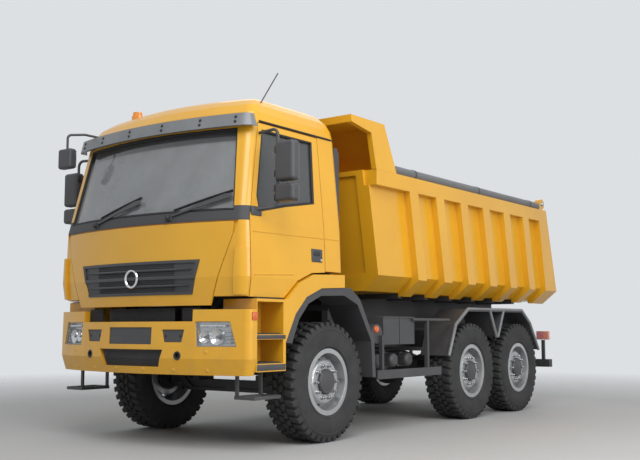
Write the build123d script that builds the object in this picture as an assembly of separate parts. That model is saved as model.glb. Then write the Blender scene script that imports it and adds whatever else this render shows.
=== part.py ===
"""Three-axle dump truck: tilting cab, rear-tipping bed, steered front wheels.

Millimetres, +X forward, +Y left, +Z up. The origin lies on the ground at the middle of the length.
Lengths along the truck are given from the front axle, positive ahead of it.
"""
from build123d import *
import os

# Layout along the truck
FRONT_OVERHANG = 1420
WHEELBASE = 2880
BOGIE_SPREAD = 1280
REAR_OVERHANG = 1225
LENGTH = FRONT_OVERHANG + WHEELBASE + BOGIE_SPREAD + REAR_OVERHANG
FRONT_AXLE_X = LENGTH / 2 - FRONT_OVERHANG
REAR_END = -(WHEELBASE + BOGIE_SPREAD + REAR_OVERHANG)
REAR_AXLES = (-WHEELBASE, -WHEELBASE - BOGIE_SPREAD)

# Clearances
PIN_PLAY = 0.1
SEAT_PLAY = 0.3
SHUT_GAP = 8

# Wheels
TYRE_R = 561
TYRE_HALF_WIDTH = 190
TREAD_HALF_WIDTH = 158
SHOULDER = 24
RIM_R = 286
RIM_HALF_WIDTH = 150
RIM_WALL = 18
FLANGE_R = 312
FLANGE_WIDTH = 14
DISC_THICK = 16
DISH_Y = 50
FLANGE_Y = 128
HUB_R = 190
HUB_CAP_R = 118
HUB_CAP_Y = 158
DRUM_R = 205
DRUM_INNER_Y = -70
HAND_HOLES = 10
HAND_HOLE_R = 19
HAND_HOLE_CIRCLE_R = 230
TRACK_HALF = 1030
SPINDLE_R = 45
SPINDLE_TIP_Y = 88

# Front axle and steering
KINGPIN_Y = 850
KINGPIN_R = 22
BOSS_R = 48
BOSS_HALF_HEIGHT = 73
EAR_THICK = 40
EAR_GAP = 2
BEAM_HALF_DEPTH = 45
ARM_LENGTH = 170
TIE_PIN_R = 14
TIE_EYE_R = 30
TIE_ROD_R = 18

# Ladder frame
RAIL_OUTER_Y = 430
RAIL_FLANGE = 75
RAIL_WEB = 12
RAIL_LOW = 800
RAIL_TOP = 1060
RAIL_FRONT = 1060
RAIL_REAR = -4950
SPRING_Y = 430
SPRING_WIDTH = 90
BOGIE_PAD_TOP = 660
BOGIE_SEAT = 790
COUPLING_SPACING_Y = 160
COUPLING_SPACING_Z = 100
COUPLING_HOLE_R = 10.5
COUPLING_Z = 930

# Cab
# columns: height, half width, rear face, front corner, front at the middle
CAB_SECTIONS = (
    (1250, 1196, -245, 1180, 1345),
    (1500, 1220, -245, 1205, 1385),
    (2000, 1200, -245, 1200, 1400),
    (2900, 1112, -245, 1015, 1195),
    (2990, 1093, -238, 982, 1152),
    (3070, 1052, -212, 930, 1088),
    (3130, 990, -160, 850, 1006),
    (3170, 915, -105, 760, 920),
    (3192, 820, -40, 650, 810),
)
CAB_CORNER_R = 100
CAB_WALL = 75
DOOR_THICK = 60
SEAL_LIP = 25
GLASS_INSET = 22
GLASS_THICK = 6
CAB_LOW = 1335
CAB_EAVES = 2892
CAB_PIVOT = (1150, 800)
CAB_PIN_R = 25
CAB_ARM_Y = (455, 505)
FLAP_THICK = 15
FLAP_LOW = 1258
FLAP_TOP = 1977
FLAP_HALF_LOW = 860
FLAP_HALF_TOP = 1130
FLAP_CORNER_HEIGHT = 110
FLAP_CORNER_CUT = 38
DOOR_FRONT = 1138
DOOR_REAR = 82
DOOR_EDGE_THICK = 24
DOOR_EDGE_WIDTH = 45
PILLAR_LEAN = 0.222
SEAT_Y = 520
STEERING_HUB = (680, 2090)

# Bumper
# columns: height, half width, front corner, front at the middle
BUMPER_SECTIONS = (
    (660, 1215, 1165, 1390),
    (800, 1250, 1190, FRONT_OVERHANG),
    (1222, 1250, 1185, 1400),
)
BUMPER_REAR = 1095
BUMPER_WALL = 60
BUMPER_CORNER_R = 72
BUMPER_MIDDLE_TOP = 1120
BUMPER_BLOCK_Y = 720

# Tipping bed
BED_HALF_WIDTH = 1250
BED_PANEL_Y = 1165
BED_WALL = 55
BED_FRONT = -750
BED_FRONT_LEVEL = 2500
BED_FRONT_LEAN = 0.18
BED_REAR_LEAN = 0.267
BED_LOW = 1410
BED_FLOOR_LOW = 1450
BED_FLOOR_TOP = 1510
BED_FLOOR_HALF = 960
CHINE_TOP = 1580
RAIL_BAND_LOW = 2530
RAIL_BAND_TOP = 2690
RAIL_BAND_INNER = 1105
RIB_FIRST = -1413
RIB_PITCH = 574
RIB_COUNT = 6
RIB_WIDTH = 180
POST_FRONT = -4811
FRONT_WALL = 60
BEAM_Y = (360, 440)
BEAM_LOW = 1130
BED_PIVOT = (-4850, 1215)
BED_PIVOT_R = 30
BED_PIVOT_EYE_R = 85
GATE_PIVOT = (-5055, 2790)
GATE_PIN_R = 20
GATE_THICK = 50
GATE_RIB = 52
GATE_HALF = 1095
ROLL_R = 55
ROLL_Y = 1170

# Hoist
HOIST_X = -2400
HOIST_Y = 210
TRUNNION_Z = 930
TRUNNION_R = 35
HOIST_EYE_Z = 1400
HOIST_EYE_R = 38
# columns: outer radius, foot height, head height
HOIST_STAGES = (
    (95, 520, 1180),
    (80, 545, 1200),
    (66, 552, 1220),
    (53, 559, 1240),
)

CENTRE_LOW = (Align.CENTER, Align.CENTER, Align.MIN)


def ahead(distance):
    """X of a point this far ahead of the front axle."""
    return FRONT_AXLE_X + distance


def block(x, y, z):
    """Box between pairs of limits, with x ahead of the front axle."""
    size = (x[1] - x[0], y[1] - y[0], z[1] - z[0])
    middle = (ahead((x[0] + x[1]) / 2), (y[0] + y[1]) / 2, (z[0] + z[1]) / 2)
    return Pos(*middle) * Box(*size)


def side_prism(outline, y):
    """Extrude an outline of (x, z) points, seen from the side, between two values of y."""
    face = Polygon(*[(ahead(x), z) for x, z in outline], align=None)
    plane = Plane((0, y[1], 0), x_dir=(1, 0, 0), z_dir=(0, -1, 0))
    return extrude(plane * face, amount=y[1] - y[0], dir=(0, -1, 0))


def front_prism(outline, x):
    """Extrude an outline of (y, z) points, seen along the truck, between two values of x."""
    face = Polygon(*outline, align=None)
    plane = Plane((ahead(x[0]), 0, 0), x_dir=(0, 1, 0), z_dir=(1, 0, 0))
    return extrude(plane * face, amount=x[1] - x[0], dir=(1, 0, 0))


def mirrored(points):
    """Outline points with y made symmetrical: the given half runs from top to bottom on the left."""
    return [(y, z) for y, z in points] + [(-y, z) for y, z in reversed(points)]


def rod_y(radius, x, z, y):
    """Round bar across the truck between two values of y."""
    start = Plane((ahead(x), y[0], z), x_dir=(1, 0, 0), z_dir=(0, 1, 0))
    return start * Cylinder(radius, y[1] - y[0], align=CENTRE_LOW)


def rod_z(radius, x, y, z):
    """Upright round bar between two heights."""
    return Pos(ahead(x), y, z[0]) * Cylinder(radius, z[1] - z[0], align=CENTRE_LOW)


def rod(start, end, radius):
    """Round bar between two points given as (x ahead of the front axle, y, z)."""
    a = Vector(ahead(start[0]), start[1], start[2])
    b = Vector(ahead(end[0]), end[1], end[2])
    return Plane(a, z_dir=b - a) * Cylinder(radius, (b - a).length, align=CENTRE_LOW)


def pipe(points, radius, bend):
    """Round tube along straight runs joined by bends."""
    path = FilletPolyline(*[(ahead(x), y, z) for x, y, z in points], radius=bend)
    return sweep(Plane(path @ 0, z_dir=path % 0) * Circle(radius), path=path)


def flip(part):
    """The same piece on the other side of the truck."""
    return mirror(part, about=Plane.XZ)


def both(part):
    """A left piece and its right twin."""
    return [part, flip(part)]


def save(name, parts):
    """Write one node from a solid or a list of solids."""
    parts = parts if isinstance(parts, list) else [parts]
    solids = [solid for part in parts for solid in part.solids()]
    shape = solids[0] if len(solids) == 1 else Compound(children=solids)
    export_step(shape, f"parts/{name}.step")


# Wheels

def tyre():
    """Tyre about the Y axis, its outer side towards +Y."""
    half = [(RIM_R, 0), (RIM_R, RIM_HALF_WIDTH), (FLANGE_R + 4, RIM_HALF_WIDTH)]
    shoulder = (TYRE_R - SHOULDER, TREAD_HALF_WIDTH)
    bulge = ((FLANGE_R + TYRE_R) / 2, TYRE_HALF_WIDTH)
    with BuildSketch() as profile:
        with BuildLine():
            Polyline(*half)
            ThreePointArc(half[-1], bulge, shoulder)
            Polyline(shoulder, (TYRE_R, TREAD_HALF_WIDTH - SHOULDER), (TYRE_R, 0), half[0])
        make_face()
        mirror(about=Plane.XZ)
    return revolve(profile.sketch, axis=Axis.Y)


def wheel():
    """Dished disc wheel with its hub, cap and brake drum, turned about the Y axis."""
    bore = RIM_R - RIM_WALL
    edge = RIM_HALF_WIDTH + FLANGE_WIDTH
    spindle = SPINDLE_R + PIN_PLAY
    profile = [
        (0, HUB_CAP_Y), (HUB_CAP_R - DISC_THICK, HUB_CAP_Y), (HUB_CAP_R, HUB_CAP_Y - DISC_THICK),
        (HUB_CAP_R, FLANGE_Y), (HUB_R, FLANGE_Y), (HUB_R + 10, FLANGE_Y - 6), (bore - 16, DISH_Y + 16),
        (bore, DISH_Y), (bore, edge), (FLANGE_R, edge), (FLANGE_R, RIM_HALF_WIDTH), (RIM_R, RIM_HALF_WIDTH),
        (RIM_R, -RIM_HALF_WIDTH), (FLANGE_R, -RIM_HALF_WIDTH), (FLANGE_R, -edge), (bore, -edge),
        (bore, DISH_Y - 20), (bore - 24, DISH_Y - 2), (DRUM_R, FLANGE_Y - 36), (DRUM_R, DRUM_INNER_Y),
        (spindle, DRUM_INNER_Y), (spindle, SPINDLE_TIP_Y + 2), (0, SPINDLE_TIP_Y + 2)]
    part = revolve(Plane.XY * Polygon(*profile, align=None), Axis.Y)
    hole = Plane((0, DISH_Y - 30, 0), x_dir=(1, 0, 0), z_dir=(0, 1, 0)) * Cylinder(
        HAND_HOLE_R, FLANGE_Y, align=CENTRE_LOW)
    for index in range(HAND_HOLES):
        part -= Rot(0, index * 360 / HAND_HOLES, 0) * Pos(HAND_HOLE_CIRCLE_R, 0, 0) * hole
    return part


def make_wheels():
    rubber, disc = tyre(), wheel()
    # columns: axle name, place along the truck
    for axle, x in (("front", 0), ("middle", REAR_AXLES[0]), ("rear", REAR_AXLES[1])):
        left = Pos(ahead(x), TRACK_HALF, TYRE_R)
        for kind, part in (("tyre", rubber), ("wheel", disc)):
            save(f"{kind}_{axle}_left", left * part)
            save(f"{kind}_{axle}_right", flip(left * part))


# Axles, springs and steering

def front_axle():
    half = [(0, 540), (560, 540), (700, 627), (KINGPIN_Y, 627),
            (KINGPIN_Y, 495), (700, 495), (560, 430), (0, 430)]
    beam = front_prism(half, (-BEAM_HALF_DEPTH, BEAM_HALF_DEPTH))
    hollow = [(60, 515), (540, 515), (660, 575), (660, 545), (540, 455), (60, 455)]
    pocket = front_prism(hollow, (20, BEAM_HALF_DEPTH))
    beam -= pocket
    beam -= Pos(ahead(0), 0, 0) * mirror(Pos(-ahead(0), 0, 0) * pocket, about=Plane.YZ)
    boss = (TYRE_R - BOSS_HALF_HEIGHT, TYRE_R + BOSS_HALF_HEIGHT)
    beam += rod_z(BOSS_R, 0, KINGPIN_Y, boss)
    beam -= rod_z(KINGPIN_R + PIN_PLAY, 0, KINGPIN_Y, boss)
    beam += block((-110, 110), (SPRING_Y - SPRING_WIDTH / 2, SPRING_Y + SPRING_WIDTH / 2), (535, 600))
    return beam + flip(beam)


def knuckle():
    """Left knuckle: yoke, kingpin, spindle, brake plate and steering arm."""
    inner = BOSS_HALF_HEIGHT + EAR_GAP
    outer = inner + EAR_THICK
    back = KINGPIN_Y + 60
    plate = TRACK_HALF + DRUM_INNER_Y - 5
    part = block((-60, 60), (back, plate), (TYRE_R - outer, TYRE_R + outer))
    for low in (inner, -outer):
        part += block((-55, 55), (KINGPIN_Y - 50, back), (TYRE_R + low, TYRE_R + low + EAR_THICK))
    part += rod_z(KINGPIN_R, 0, KINGPIN_Y, (TYRE_R - outer, TYRE_R + outer))
    part += rod_y(150, 0, TYRE_R, (plate - 12, plate))
    part += rod_y(SPINDLE_R, 0, TYRE_R, (plate - 1, TRACK_HALF + SPINDLE_TIP_Y))
    low = TYRE_R - outer
    arm = [(-40, KINGPIN_Y + 50), (-40, KINGPIN_Y - 50),
           (-ARM_LENGTH, KINGPIN_Y - 25), (-ARM_LENGTH, KINGPIN_Y + 25)]
    face = Polygon(*[(ahead(x), y) for x, y in arm], align=None)
    part += extrude(Plane.XY.offset(low) * face, amount=EAR_THICK, dir=(0, 0, 1))
    part += rod_z(25, -ARM_LENGTH, KINGPIN_Y, (low, low + EAR_THICK))
    part += rod_z(TIE_PIN_R, -ARM_LENGTH, KINGPIN_Y, (low - 46, low + 1))
    return part


def tie_rod():
    """Rod between the two arms, each straight behind its kingpin, so that it stays across the truck."""
    low = TYRE_R - BOSS_HALF_HEIGHT - EAR_GAP - EAR_THICK
    heights = (low - 42, low - 4)
    middle = sum(heights) / 2
    part = rod_y(TIE_ROD_R, -ARM_LENGTH, middle, (-KINGPIN_Y, KINGPIN_Y))
    for y in (-KINGPIN_Y, KINGPIN_Y):
        part += rod_z(TIE_EYE_R, -ARM_LENGTH, y, heights)
    for y in (-KINGPIN_Y, KINGPIN_Y):
        part -= rod_z(TIE_PIN_R + PIN_PLAY, -ARM_LENGTH, y, heights)
    return part


def leaf_pack(x, half, low_ends, low_middle, top_ends, top_middle):
    """Leaf spring between a lower and an upper arc."""
    y = (SPRING_Y - SPRING_WIDTH / 2, SPRING_Y + SPRING_WIDTH / 2)
    a, b, c = ahead(x - half), ahead(x), ahead(x + half)
    with BuildSketch() as profile:
        with BuildLine():
            ThreePointArc((a, low_ends), (b, low_middle), (c, low_ends))
            Line((c, low_ends), (c, top_ends))
            ThreePointArc((c, top_ends), (b, top_middle), (a, top_ends))
            Line((a, top_ends), (a, low_ends))
        make_face()
    plane = Plane((0, y[1], 0), x_dir=(1, 0, 0), z_dir=(0, -1, 0))
    return extrude(plane * profile.sketch, amount=SPRING_WIDTH, dir=(0, -1, 0))


def leaf_springs():
    front = leaf_pack(0, 720, 770, 600, RAIL_LOW, 668)
    bogie_middle = sum(REAR_AXLES) / 2
    rear = leaf_pack(bogie_middle, BOGIE_SPREAD / 2 + 80, BOGIE_PAD_TOP, 700, 690, BOGIE_SEAT)
    return both(front) + both(rear)


def rear_axles():
    """Two driven axles, their differentials and the shafts that drive them."""
    tube_end = TRACK_HALF + DRUM_INNER_Y - 5
    part = None
    for x in REAR_AXLES:
        axle = rod_y(75, x, TYRE_R, (-tube_end, tube_end))
        tip = TRACK_HALF + SPINDLE_TIP_Y
        axle += rod_y(SPINDLE_R, x, TYRE_R, (-tip, tip))
        axle += Pos(ahead(x), 0, TYRE_R) * Sphere(190)
        axle += rod((x, 0, TYRE_R), (x + 260, 0, TYRE_R + 20), 90)
        for y in (-SPRING_Y, SPRING_Y):
            pad = (y - SPRING_WIDTH / 2, y + SPRING_WIDTH / 2)
            axle += block((x - 75, x + 75), pad, (TYRE_R, BOGIE_PAD_TOP))
        part = axle if part is None else part + axle
    part += rod((-1056, 0, 760), (REAR_AXLES[0] + 255, 0, TYRE_R + 20), 50)
    part += rod((REAR_AXLES[0], 0, TYRE_R), (REAR_AXLES[1] + 255, 0, TYRE_R + 20), 50)
    return part


# Frame, power train and what hangs on the frame

def frame():
    flange_y = RAIL_OUTER_Y - RAIL_FLANGE
    rail = block((RAIL_REAR, RAIL_FRONT), (flange_y, RAIL_OUTER_Y), (RAIL_LOW, RAIL_TOP))
    rail -= block((RAIL_REAR, RAIL_FRONT), (flange_y, RAIL_OUTER_Y - RAIL_WEB),
                  (RAIL_LOW + RAIL_WEB, RAIL_TOP - RAIL_WEB))
    # strip that the bed lies on
    rail += block((-4600, -950), (flange_y + 5, RAIL_OUTER_Y), (RAIL_TOP, BEAM_LOW - SEAT_PLAY))
    # rear cab support
    rail += block((-165, -95), (flange_y, RAIL_OUTER_Y), (RAIL_TOP, 1590 - SEAT_PLAY))
    # cab hinge bracket and its pin
    x, z = CAB_PIVOT
    rail += block((x - 220, x + 45), (RAIL_OUTER_Y, RAIL_OUTER_Y + 18), (z - 40, z + 60))
    rail += rod_y(CAB_PIN_R, x, z, (RAIL_OUTER_Y, CAB_ARM_Y[1] + 15))
    # bogie bracket down to the spring
    middle = sum(REAR_AXLES) / 2
    seat = (SPRING_Y - SPRING_WIDTH / 2, SPRING_Y + SPRING_WIDTH / 2)
    rail += block((middle - 120, middle + 120), seat, (BOGIE_SEAT, RAIL_LOW))
    rail += block((middle - 120, middle + 120), (RAIL_OUTER_Y, seat[1]), (BOGIE_SEAT, RAIL_LOW + 120))
    # bed hinge brackets
    x, z = BED_PIVOT
    cheek = [(x - 85, RAIL_TOP - 160), (x + 85, RAIL_TOP - 160),
             (x + 45, z + 45), (x - 45, z + 45)]
    rail += side_prism(cheek, (BEAM_Y[1] + 4, BEAM_Y[1] + 28))
    rail += block((x - 85, x + 85), (RAIL_OUTER_Y, BEAM_Y[1] + 4), (RAIL_TOP - 160, RAIL_TOP))
    cheek = [(x - 60, RAIL_TOP), (x + 60, RAIL_TOP), (x + 45, z + 45), (x - 45, z + 45)]
    rail += side_prism(cheek, (BEAM_Y[0] - 28, BEAM_Y[0] - 4))
    rail += rod_y(BED_PIVOT_R, x, z, (BEAM_Y[0] - 28, BEAM_Y[1] + 28))
    # hoist bearing
    bearing = block((HOIST_X - 60, HOIST_X + 60), (HOIST_Y + 110, RAIL_OUTER_Y - RAIL_WEB),
                    (TRUNNION_Z - 60, TRUNNION_Z + 60))
    rail += bearing - rod_y(TRUNNION_R + PIN_PLAY, HOIST_X, TRUNNION_Z, (HOIST_Y, flange_y))
    # underrun bracket and lamp post
    bracket = [(-4700, RAIL_LOW), (RAIL_REAR, RAIL_LOW), (-5290, 640),
               (-5290, 530), (-5200, 530), (-4780, 700)]
    rail += side_prism(bracket, (flange_y + 25, RAIL_OUTER_Y))
    rail += block((-5250, -5210), (1060, 1100), (620, 900))
    part = rail + flip(rail)
    web_y = RAIL_OUTER_Y - RAIL_WEB + 1
    # columns: rear end, front end, low, top
    for rear, front, low, top in (
        (980, RAIL_FRONT, 830, 960),
        (-1250, -1150, 860, RAIL_TOP - RAIL_WEB),
        (-1950, -1850, 860, RAIL_TOP - RAIL_WEB),
        (middle - 60, middle + 60, 820, 940),
        (BED_PIVOT[0] - 60, BED_PIVOT[0] + 60, 960, RAIL_TOP),
        (RAIL_REAR, RAIL_REAR + 15, RAIL_LOW, RAIL_TOP),
    ):
        part += block((rear, front), (-web_y, web_y), (low, top))
    part += block((-5290, -5190), (-1180, 1180), (530, 635))
    for y in (-COUPLING_SPACING_Y / 2, COUPLING_SPACING_Y / 2):
        for dz in (-COUPLING_SPACING_Z / 2, COUPLING_SPACING_Z / 2):
            z = COUPLING_Z + dz
            part -= rod((RAIL_REAR - 5, y, z), (RAIL_REAR + 20, y, z), COUPLING_HOLE_R)
    return part


def engine():
    """One plain block with its gearbox, on feet that stand in the rails."""
    web = RAIL_OUTER_Y - RAIL_WEB
    part = block((-550, 500), (-300, 300), (640, 1480))
    part += block((-1050, -550), (-200, 200), (640, 1080))
    part += block((-60, 260), (-web, web), (850, 960))
    return part


def radiator():
    inner = RAIL_OUTER_Y - RAIL_FLANGE
    part = block((860, 960), (-inner, inner), (700, 1270))
    for index in range(13):
        z = 730 + index * 42
        part -= block((945, 960), (-inner + 30, inner - 30), (z, z + 24))
    return part


def fuel_tank():
    part = fillet(block((-1890, -930), (-1150, -620), (560, 1120)).edges().filter_by(Axis.X), 70)
    for x in (-1650, -1200):
        part += block((x - 40, x + 40), (-630, -RAIL_OUTER_Y), (860, 950))
    return part


def battery_and_air_tanks():
    part = block((-1640, -830), (560, 600), (660, 1150))
    part += block((-1640, -1020), (600, 1150), (893, 1173))
    part -= block((-1340, -1328), (1140, 1150), (893, 1173))
    part += rod_y(100, -900, 1004, (600, 1150))
    for x in (-1021, -1340, -1640):
        part += fillet(rod_y(75, x + 15, 727, (590, 1100)).edges().group_by(Axis.Y)[-1], 35)
    for x in (-1500, -950):
        part += block((x - 40, x + 40), (RAIL_OUTER_Y, 565), (860, 950))
    return part


def side_guards():
    """Under-run guards, and the hanging steps at the front corners."""
    guard = block((-2100, -806), (1190, 1220), (548, 637))
    for x, top in ((-953, 990), (-1867, 1156)):
        guard += block((x - 18, x + 18), (1150, 1191), (560, top))
    guard += rod((-2368, 1172, 1156), (-1566, 1172, 1156), 18)
    left = guard + block((-1885, -1849), (RAIL_OUTER_Y, 1151), (815, 855))
    step = block((760, 1110), (1010, 1240), (455, 485))
    step -= block((785, 1085), (1040, 1215), (455, 485))
    for x in (770, 1080):
        step += block((x, x + 20), (1010, 1040), (480, 690))
    return [left, flip(guard)] + both(step)


def mudguards():
    """Front wheel liners and the double arches over the rear wheels."""
    over = [(600, 926), (700, 937), (560, 1190), (400, 1345), (170, 1432), (-200, 1450),
            (-320, 1447), (-474, 1344), (-720, 950), (-745, 575)]
    under = [(-692, 575), (-668, 935), (-430, 1292), (-201, 1376), (170, 1362), (360, 1285), (500, 1140)]
    liner = over + under
    front = side_prism(liner, (860, 1235))
    front += block((-500, -440), (RAIL_OUTER_Y - 60, 870), (1240, 1300))
    front += block((-500, -440), (RAIL_OUTER_Y - 60, RAIL_OUTER_Y), (RAIL_TOP, 1241))
    # columns: outer x, outer z, inner x, inner z
    arch = ((-2288, 751, -2316, 751), (-2458, 1108, -2483, 1094), (-2759, 1291, -2770, 1262),
            (-4248, 1298, -4237, 1269), (-4500, 1133, -4474, 1119), (-4755, 780, -4727, 780))
    outline = [(x, z) for x, z, _, _ in arch] + [(x, z) for _, _, x, z in reversed(arch)]
    rear = side_prism(outline, (832, 1220))
    middle = sum(REAR_AXLES) / 2
    valley = [(middle + 190, 1282), (middle + 20, 960), (middle - 20, 960), (middle - 190, 1282),
              (middle - 160, 1282), (middle, 990), (middle + 160, 1282)]
    rear += side_prism(valley, (832, 1220))
    rear += rod_y(22, middle, 1000, (RAIL_OUTER_Y, 1200))
    rear += rod_y(22, -2470, 1050, (RAIL_OUTER_Y, 1200))
    return both(front) + both(rear)


def step_wells():
    """Entry steps and the wing flare that carries on over the front wheel."""
    well = block((700, BUMPER_REAR), (860, 1245), (690, 1315))
    for low, top in ((760, 965), (1010, 1290)):
        well -= block((735, 1085), (985, 1245), (low, top))
    flare = [(705, 937), (705, 1315), (660, 1326), (500, 1473), (290, 1555), (-200, 1572),
             (-200, 1450), (170, 1432), (400, 1345), (560, 1190), (700, 937)]
    well += side_prism(flare, (1120, 1245))
    for x in (760, 900):
        well += block((x, x + 50), (RAIL_OUTER_Y, 861), (860, 920))
    return both(well)


# Bumper and lamps

def bumper_solid(inset):
    """Bumper outline pulled in by the inset, open to the rear."""
    faces = []
    for z, half, corner, front in BUMPER_SECTIONS:
        faces.append(bow_face(z, half - inset, BUMPER_REAR - inset, corner - inset, front - inset,
                              BUMPER_CORNER_R - inset, 0))
    return loft(faces, ruled=True)


def bow_face(z, half, rear, corner, front, corner_r, rear_r):
    """Plan section with straight sides and a bowed front, its corners rounded."""
    with BuildSketch(Plane.XY.offset(z)) as plan:
        with BuildLine():
            Polyline((ahead(corner), -half), (ahead(rear), -half),
                     (ahead(rear), half), (ahead(corner), half))
            ThreePointArc((ahead(corner), half), (ahead(front), 0), (ahead(corner), -half))
        make_face()
        ends = plan.vertices().sort_by(Axis.X)
        fillet(ends[2:], corner_r)
        if rear_r:
            fillet(plan.vertices().sort_by(Axis.X)[:2], rear_r)
    return plan.sketch


LAMP_OUTLINE = [(745, 1118), (1075, 1118), (1135, 905), (760, 905)]
COVER_OUTLINE = [(400, 1050), (640, 1050), (615, 940), (425, 940)]
PLATE_OUTLINE = [(280, 1070), (280, 920), (-280, 920), (-280, 1070)]
MESH_OUTLINE = [(415, 875), (360, 725), (-360, 725), (-415, 875)]
FRONT_REACH = (1000, 1500)


def bumper():
    skin = bumper_solid(0) - bumper_solid(BUMPER_WALL)
    middle_top = block((1000, 1500), (-BUMPER_BLOCK_Y, BUMPER_BLOCK_Y), (BUMPER_MIDDLE_TOP, 1300))
    skin -= middle_top
    for outline in (LAMP_OUTLINE, COVER_OUTLINE):
        opening = front_prism(outline, FRONT_REACH)
        skin -= opening
        skin -= flip(opening)
    for outline in (PLATE_OUTLINE, MESH_OUTLINE):
        skin -= front_prism(outline, FRONT_REACH)
    for y in (-577, 577):
        skin -= rod((1200, y, 825), (1500, y, 825), 30)
    for y in (-RAIL_OUTER_Y, RAIL_OUTER_Y - RAIL_FLANGE):
        bracket = block((RAIL_FRONT, 1400), (y, y + RAIL_FLANGE), (890, 915))
        skin += bracket & bumper_solid(BUMPER_WALL / 2)
    return skin


def bumper_inserts():
    """Blank plate, lamp covers and the lower mesh, set back in their openings."""
    slab = bumper_solid(8) - bumper_solid(BUMPER_WALL)
    pieces = [slab & front_prism(COVER_OUTLINE, FRONT_REACH)]
    pieces.append(flip(pieces[0]))
    pieces.append(slab & front_prism(PLATE_OUTLINE, FRONT_REACH))
    mesh = bumper_solid(35) - bumper_solid(BUMPER_WALL)
    pieces.append(mesh & front_prism(MESH_OUTLINE, FRONT_REACH))
    return pieces


def lamps():
    head = (bumper_solid(4) - bumper_solid(BUMPER_WALL)) & front_prism(LAMP_OUTLINE, FRONT_REACH)
    tail = fillet(block((-5260, -5190), (985, 1175), (900, 1030)).edges().filter_by(Axis.X), 15)
    return both(head) + both(tail)


# Cab

def cab_solid(inset):
    """Whole outer form of the cab, pulled in by the inset."""
    faces = []
    for z, half, rear, corner, front in CAB_SECTIONS:
        height = z - inset if z > CAB_EAVES + 50 else z
        faces.append(bow_face(height, half - inset, rear + inset, corner - inset, front - inset,
                              CAB_CORNER_R - inset, CAB_CORNER_R - inset))
    return loft(faces, ruled=True)


def pillar_front(z):
    """Place of the door's front edge: upright, then leaning back with the windscreen."""
    return DOOR_FRONT if z <= 2000 else DOOR_FRONT - (z - 2000) * PILLAR_LEAN


DOOR_TOP = CAB_EAVES - SHUT_GAP
DOOR_OUTLINE = [(DOOR_FRONT, 1330), (DOOR_FRONT, 2000), (pillar_front(DOOR_TOP), DOOR_TOP),
                (DOOR_REAR, DOOR_TOP), (DOOR_REAR, 1584), (290, 1570), (500, 1490), (668, 1338), (700, 1330)]
DOOR_WINDOW = [(1010, 2070), (1035, 2210), (900, 2830), (165, 2830), (200, 2225), (640, 2150)]
SCREEN_OUTLINE = [(1085, 2075), (985, 2835), (-985, 2835), (-1085, 2075)]
GRILLE_OUTLINE = [(780, 1655), (690, 1355), (-690, 1355), (-780, 1655)]


def flap_outline(grow):
    """Front flap, or with growth the opening it lies in."""
    low, top = FLAP_HALF_LOW + grow, FLAP_HALF_TOP + grow
    return [(low, FLAP_LOW - grow), (top, FLAP_TOP + grow),
            (-top, FLAP_TOP + grow), (-low, FLAP_LOW - grow)]


def flap_corner():
    """Wedge cut from the flap's upper left corner, which drops as the flap lifts."""
    slope = (FLAP_HALF_TOP - FLAP_HALF_LOW) / (FLAP_TOP - FLAP_LOW)
    low = FLAP_TOP - FLAP_CORNER_HEIGHT
    wedge = [(FLAP_HALF_TOP - FLAP_CORNER_CUT, FLAP_TOP + 1), (FLAP_HALF_TOP + 50, FLAP_TOP + 1),
             (FLAP_HALF_TOP + 50, low), (FLAP_HALF_TOP - slope * FLAP_CORNER_HEIGHT, low)]
    return front_prism(wedge, FRONT_REACH)


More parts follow.
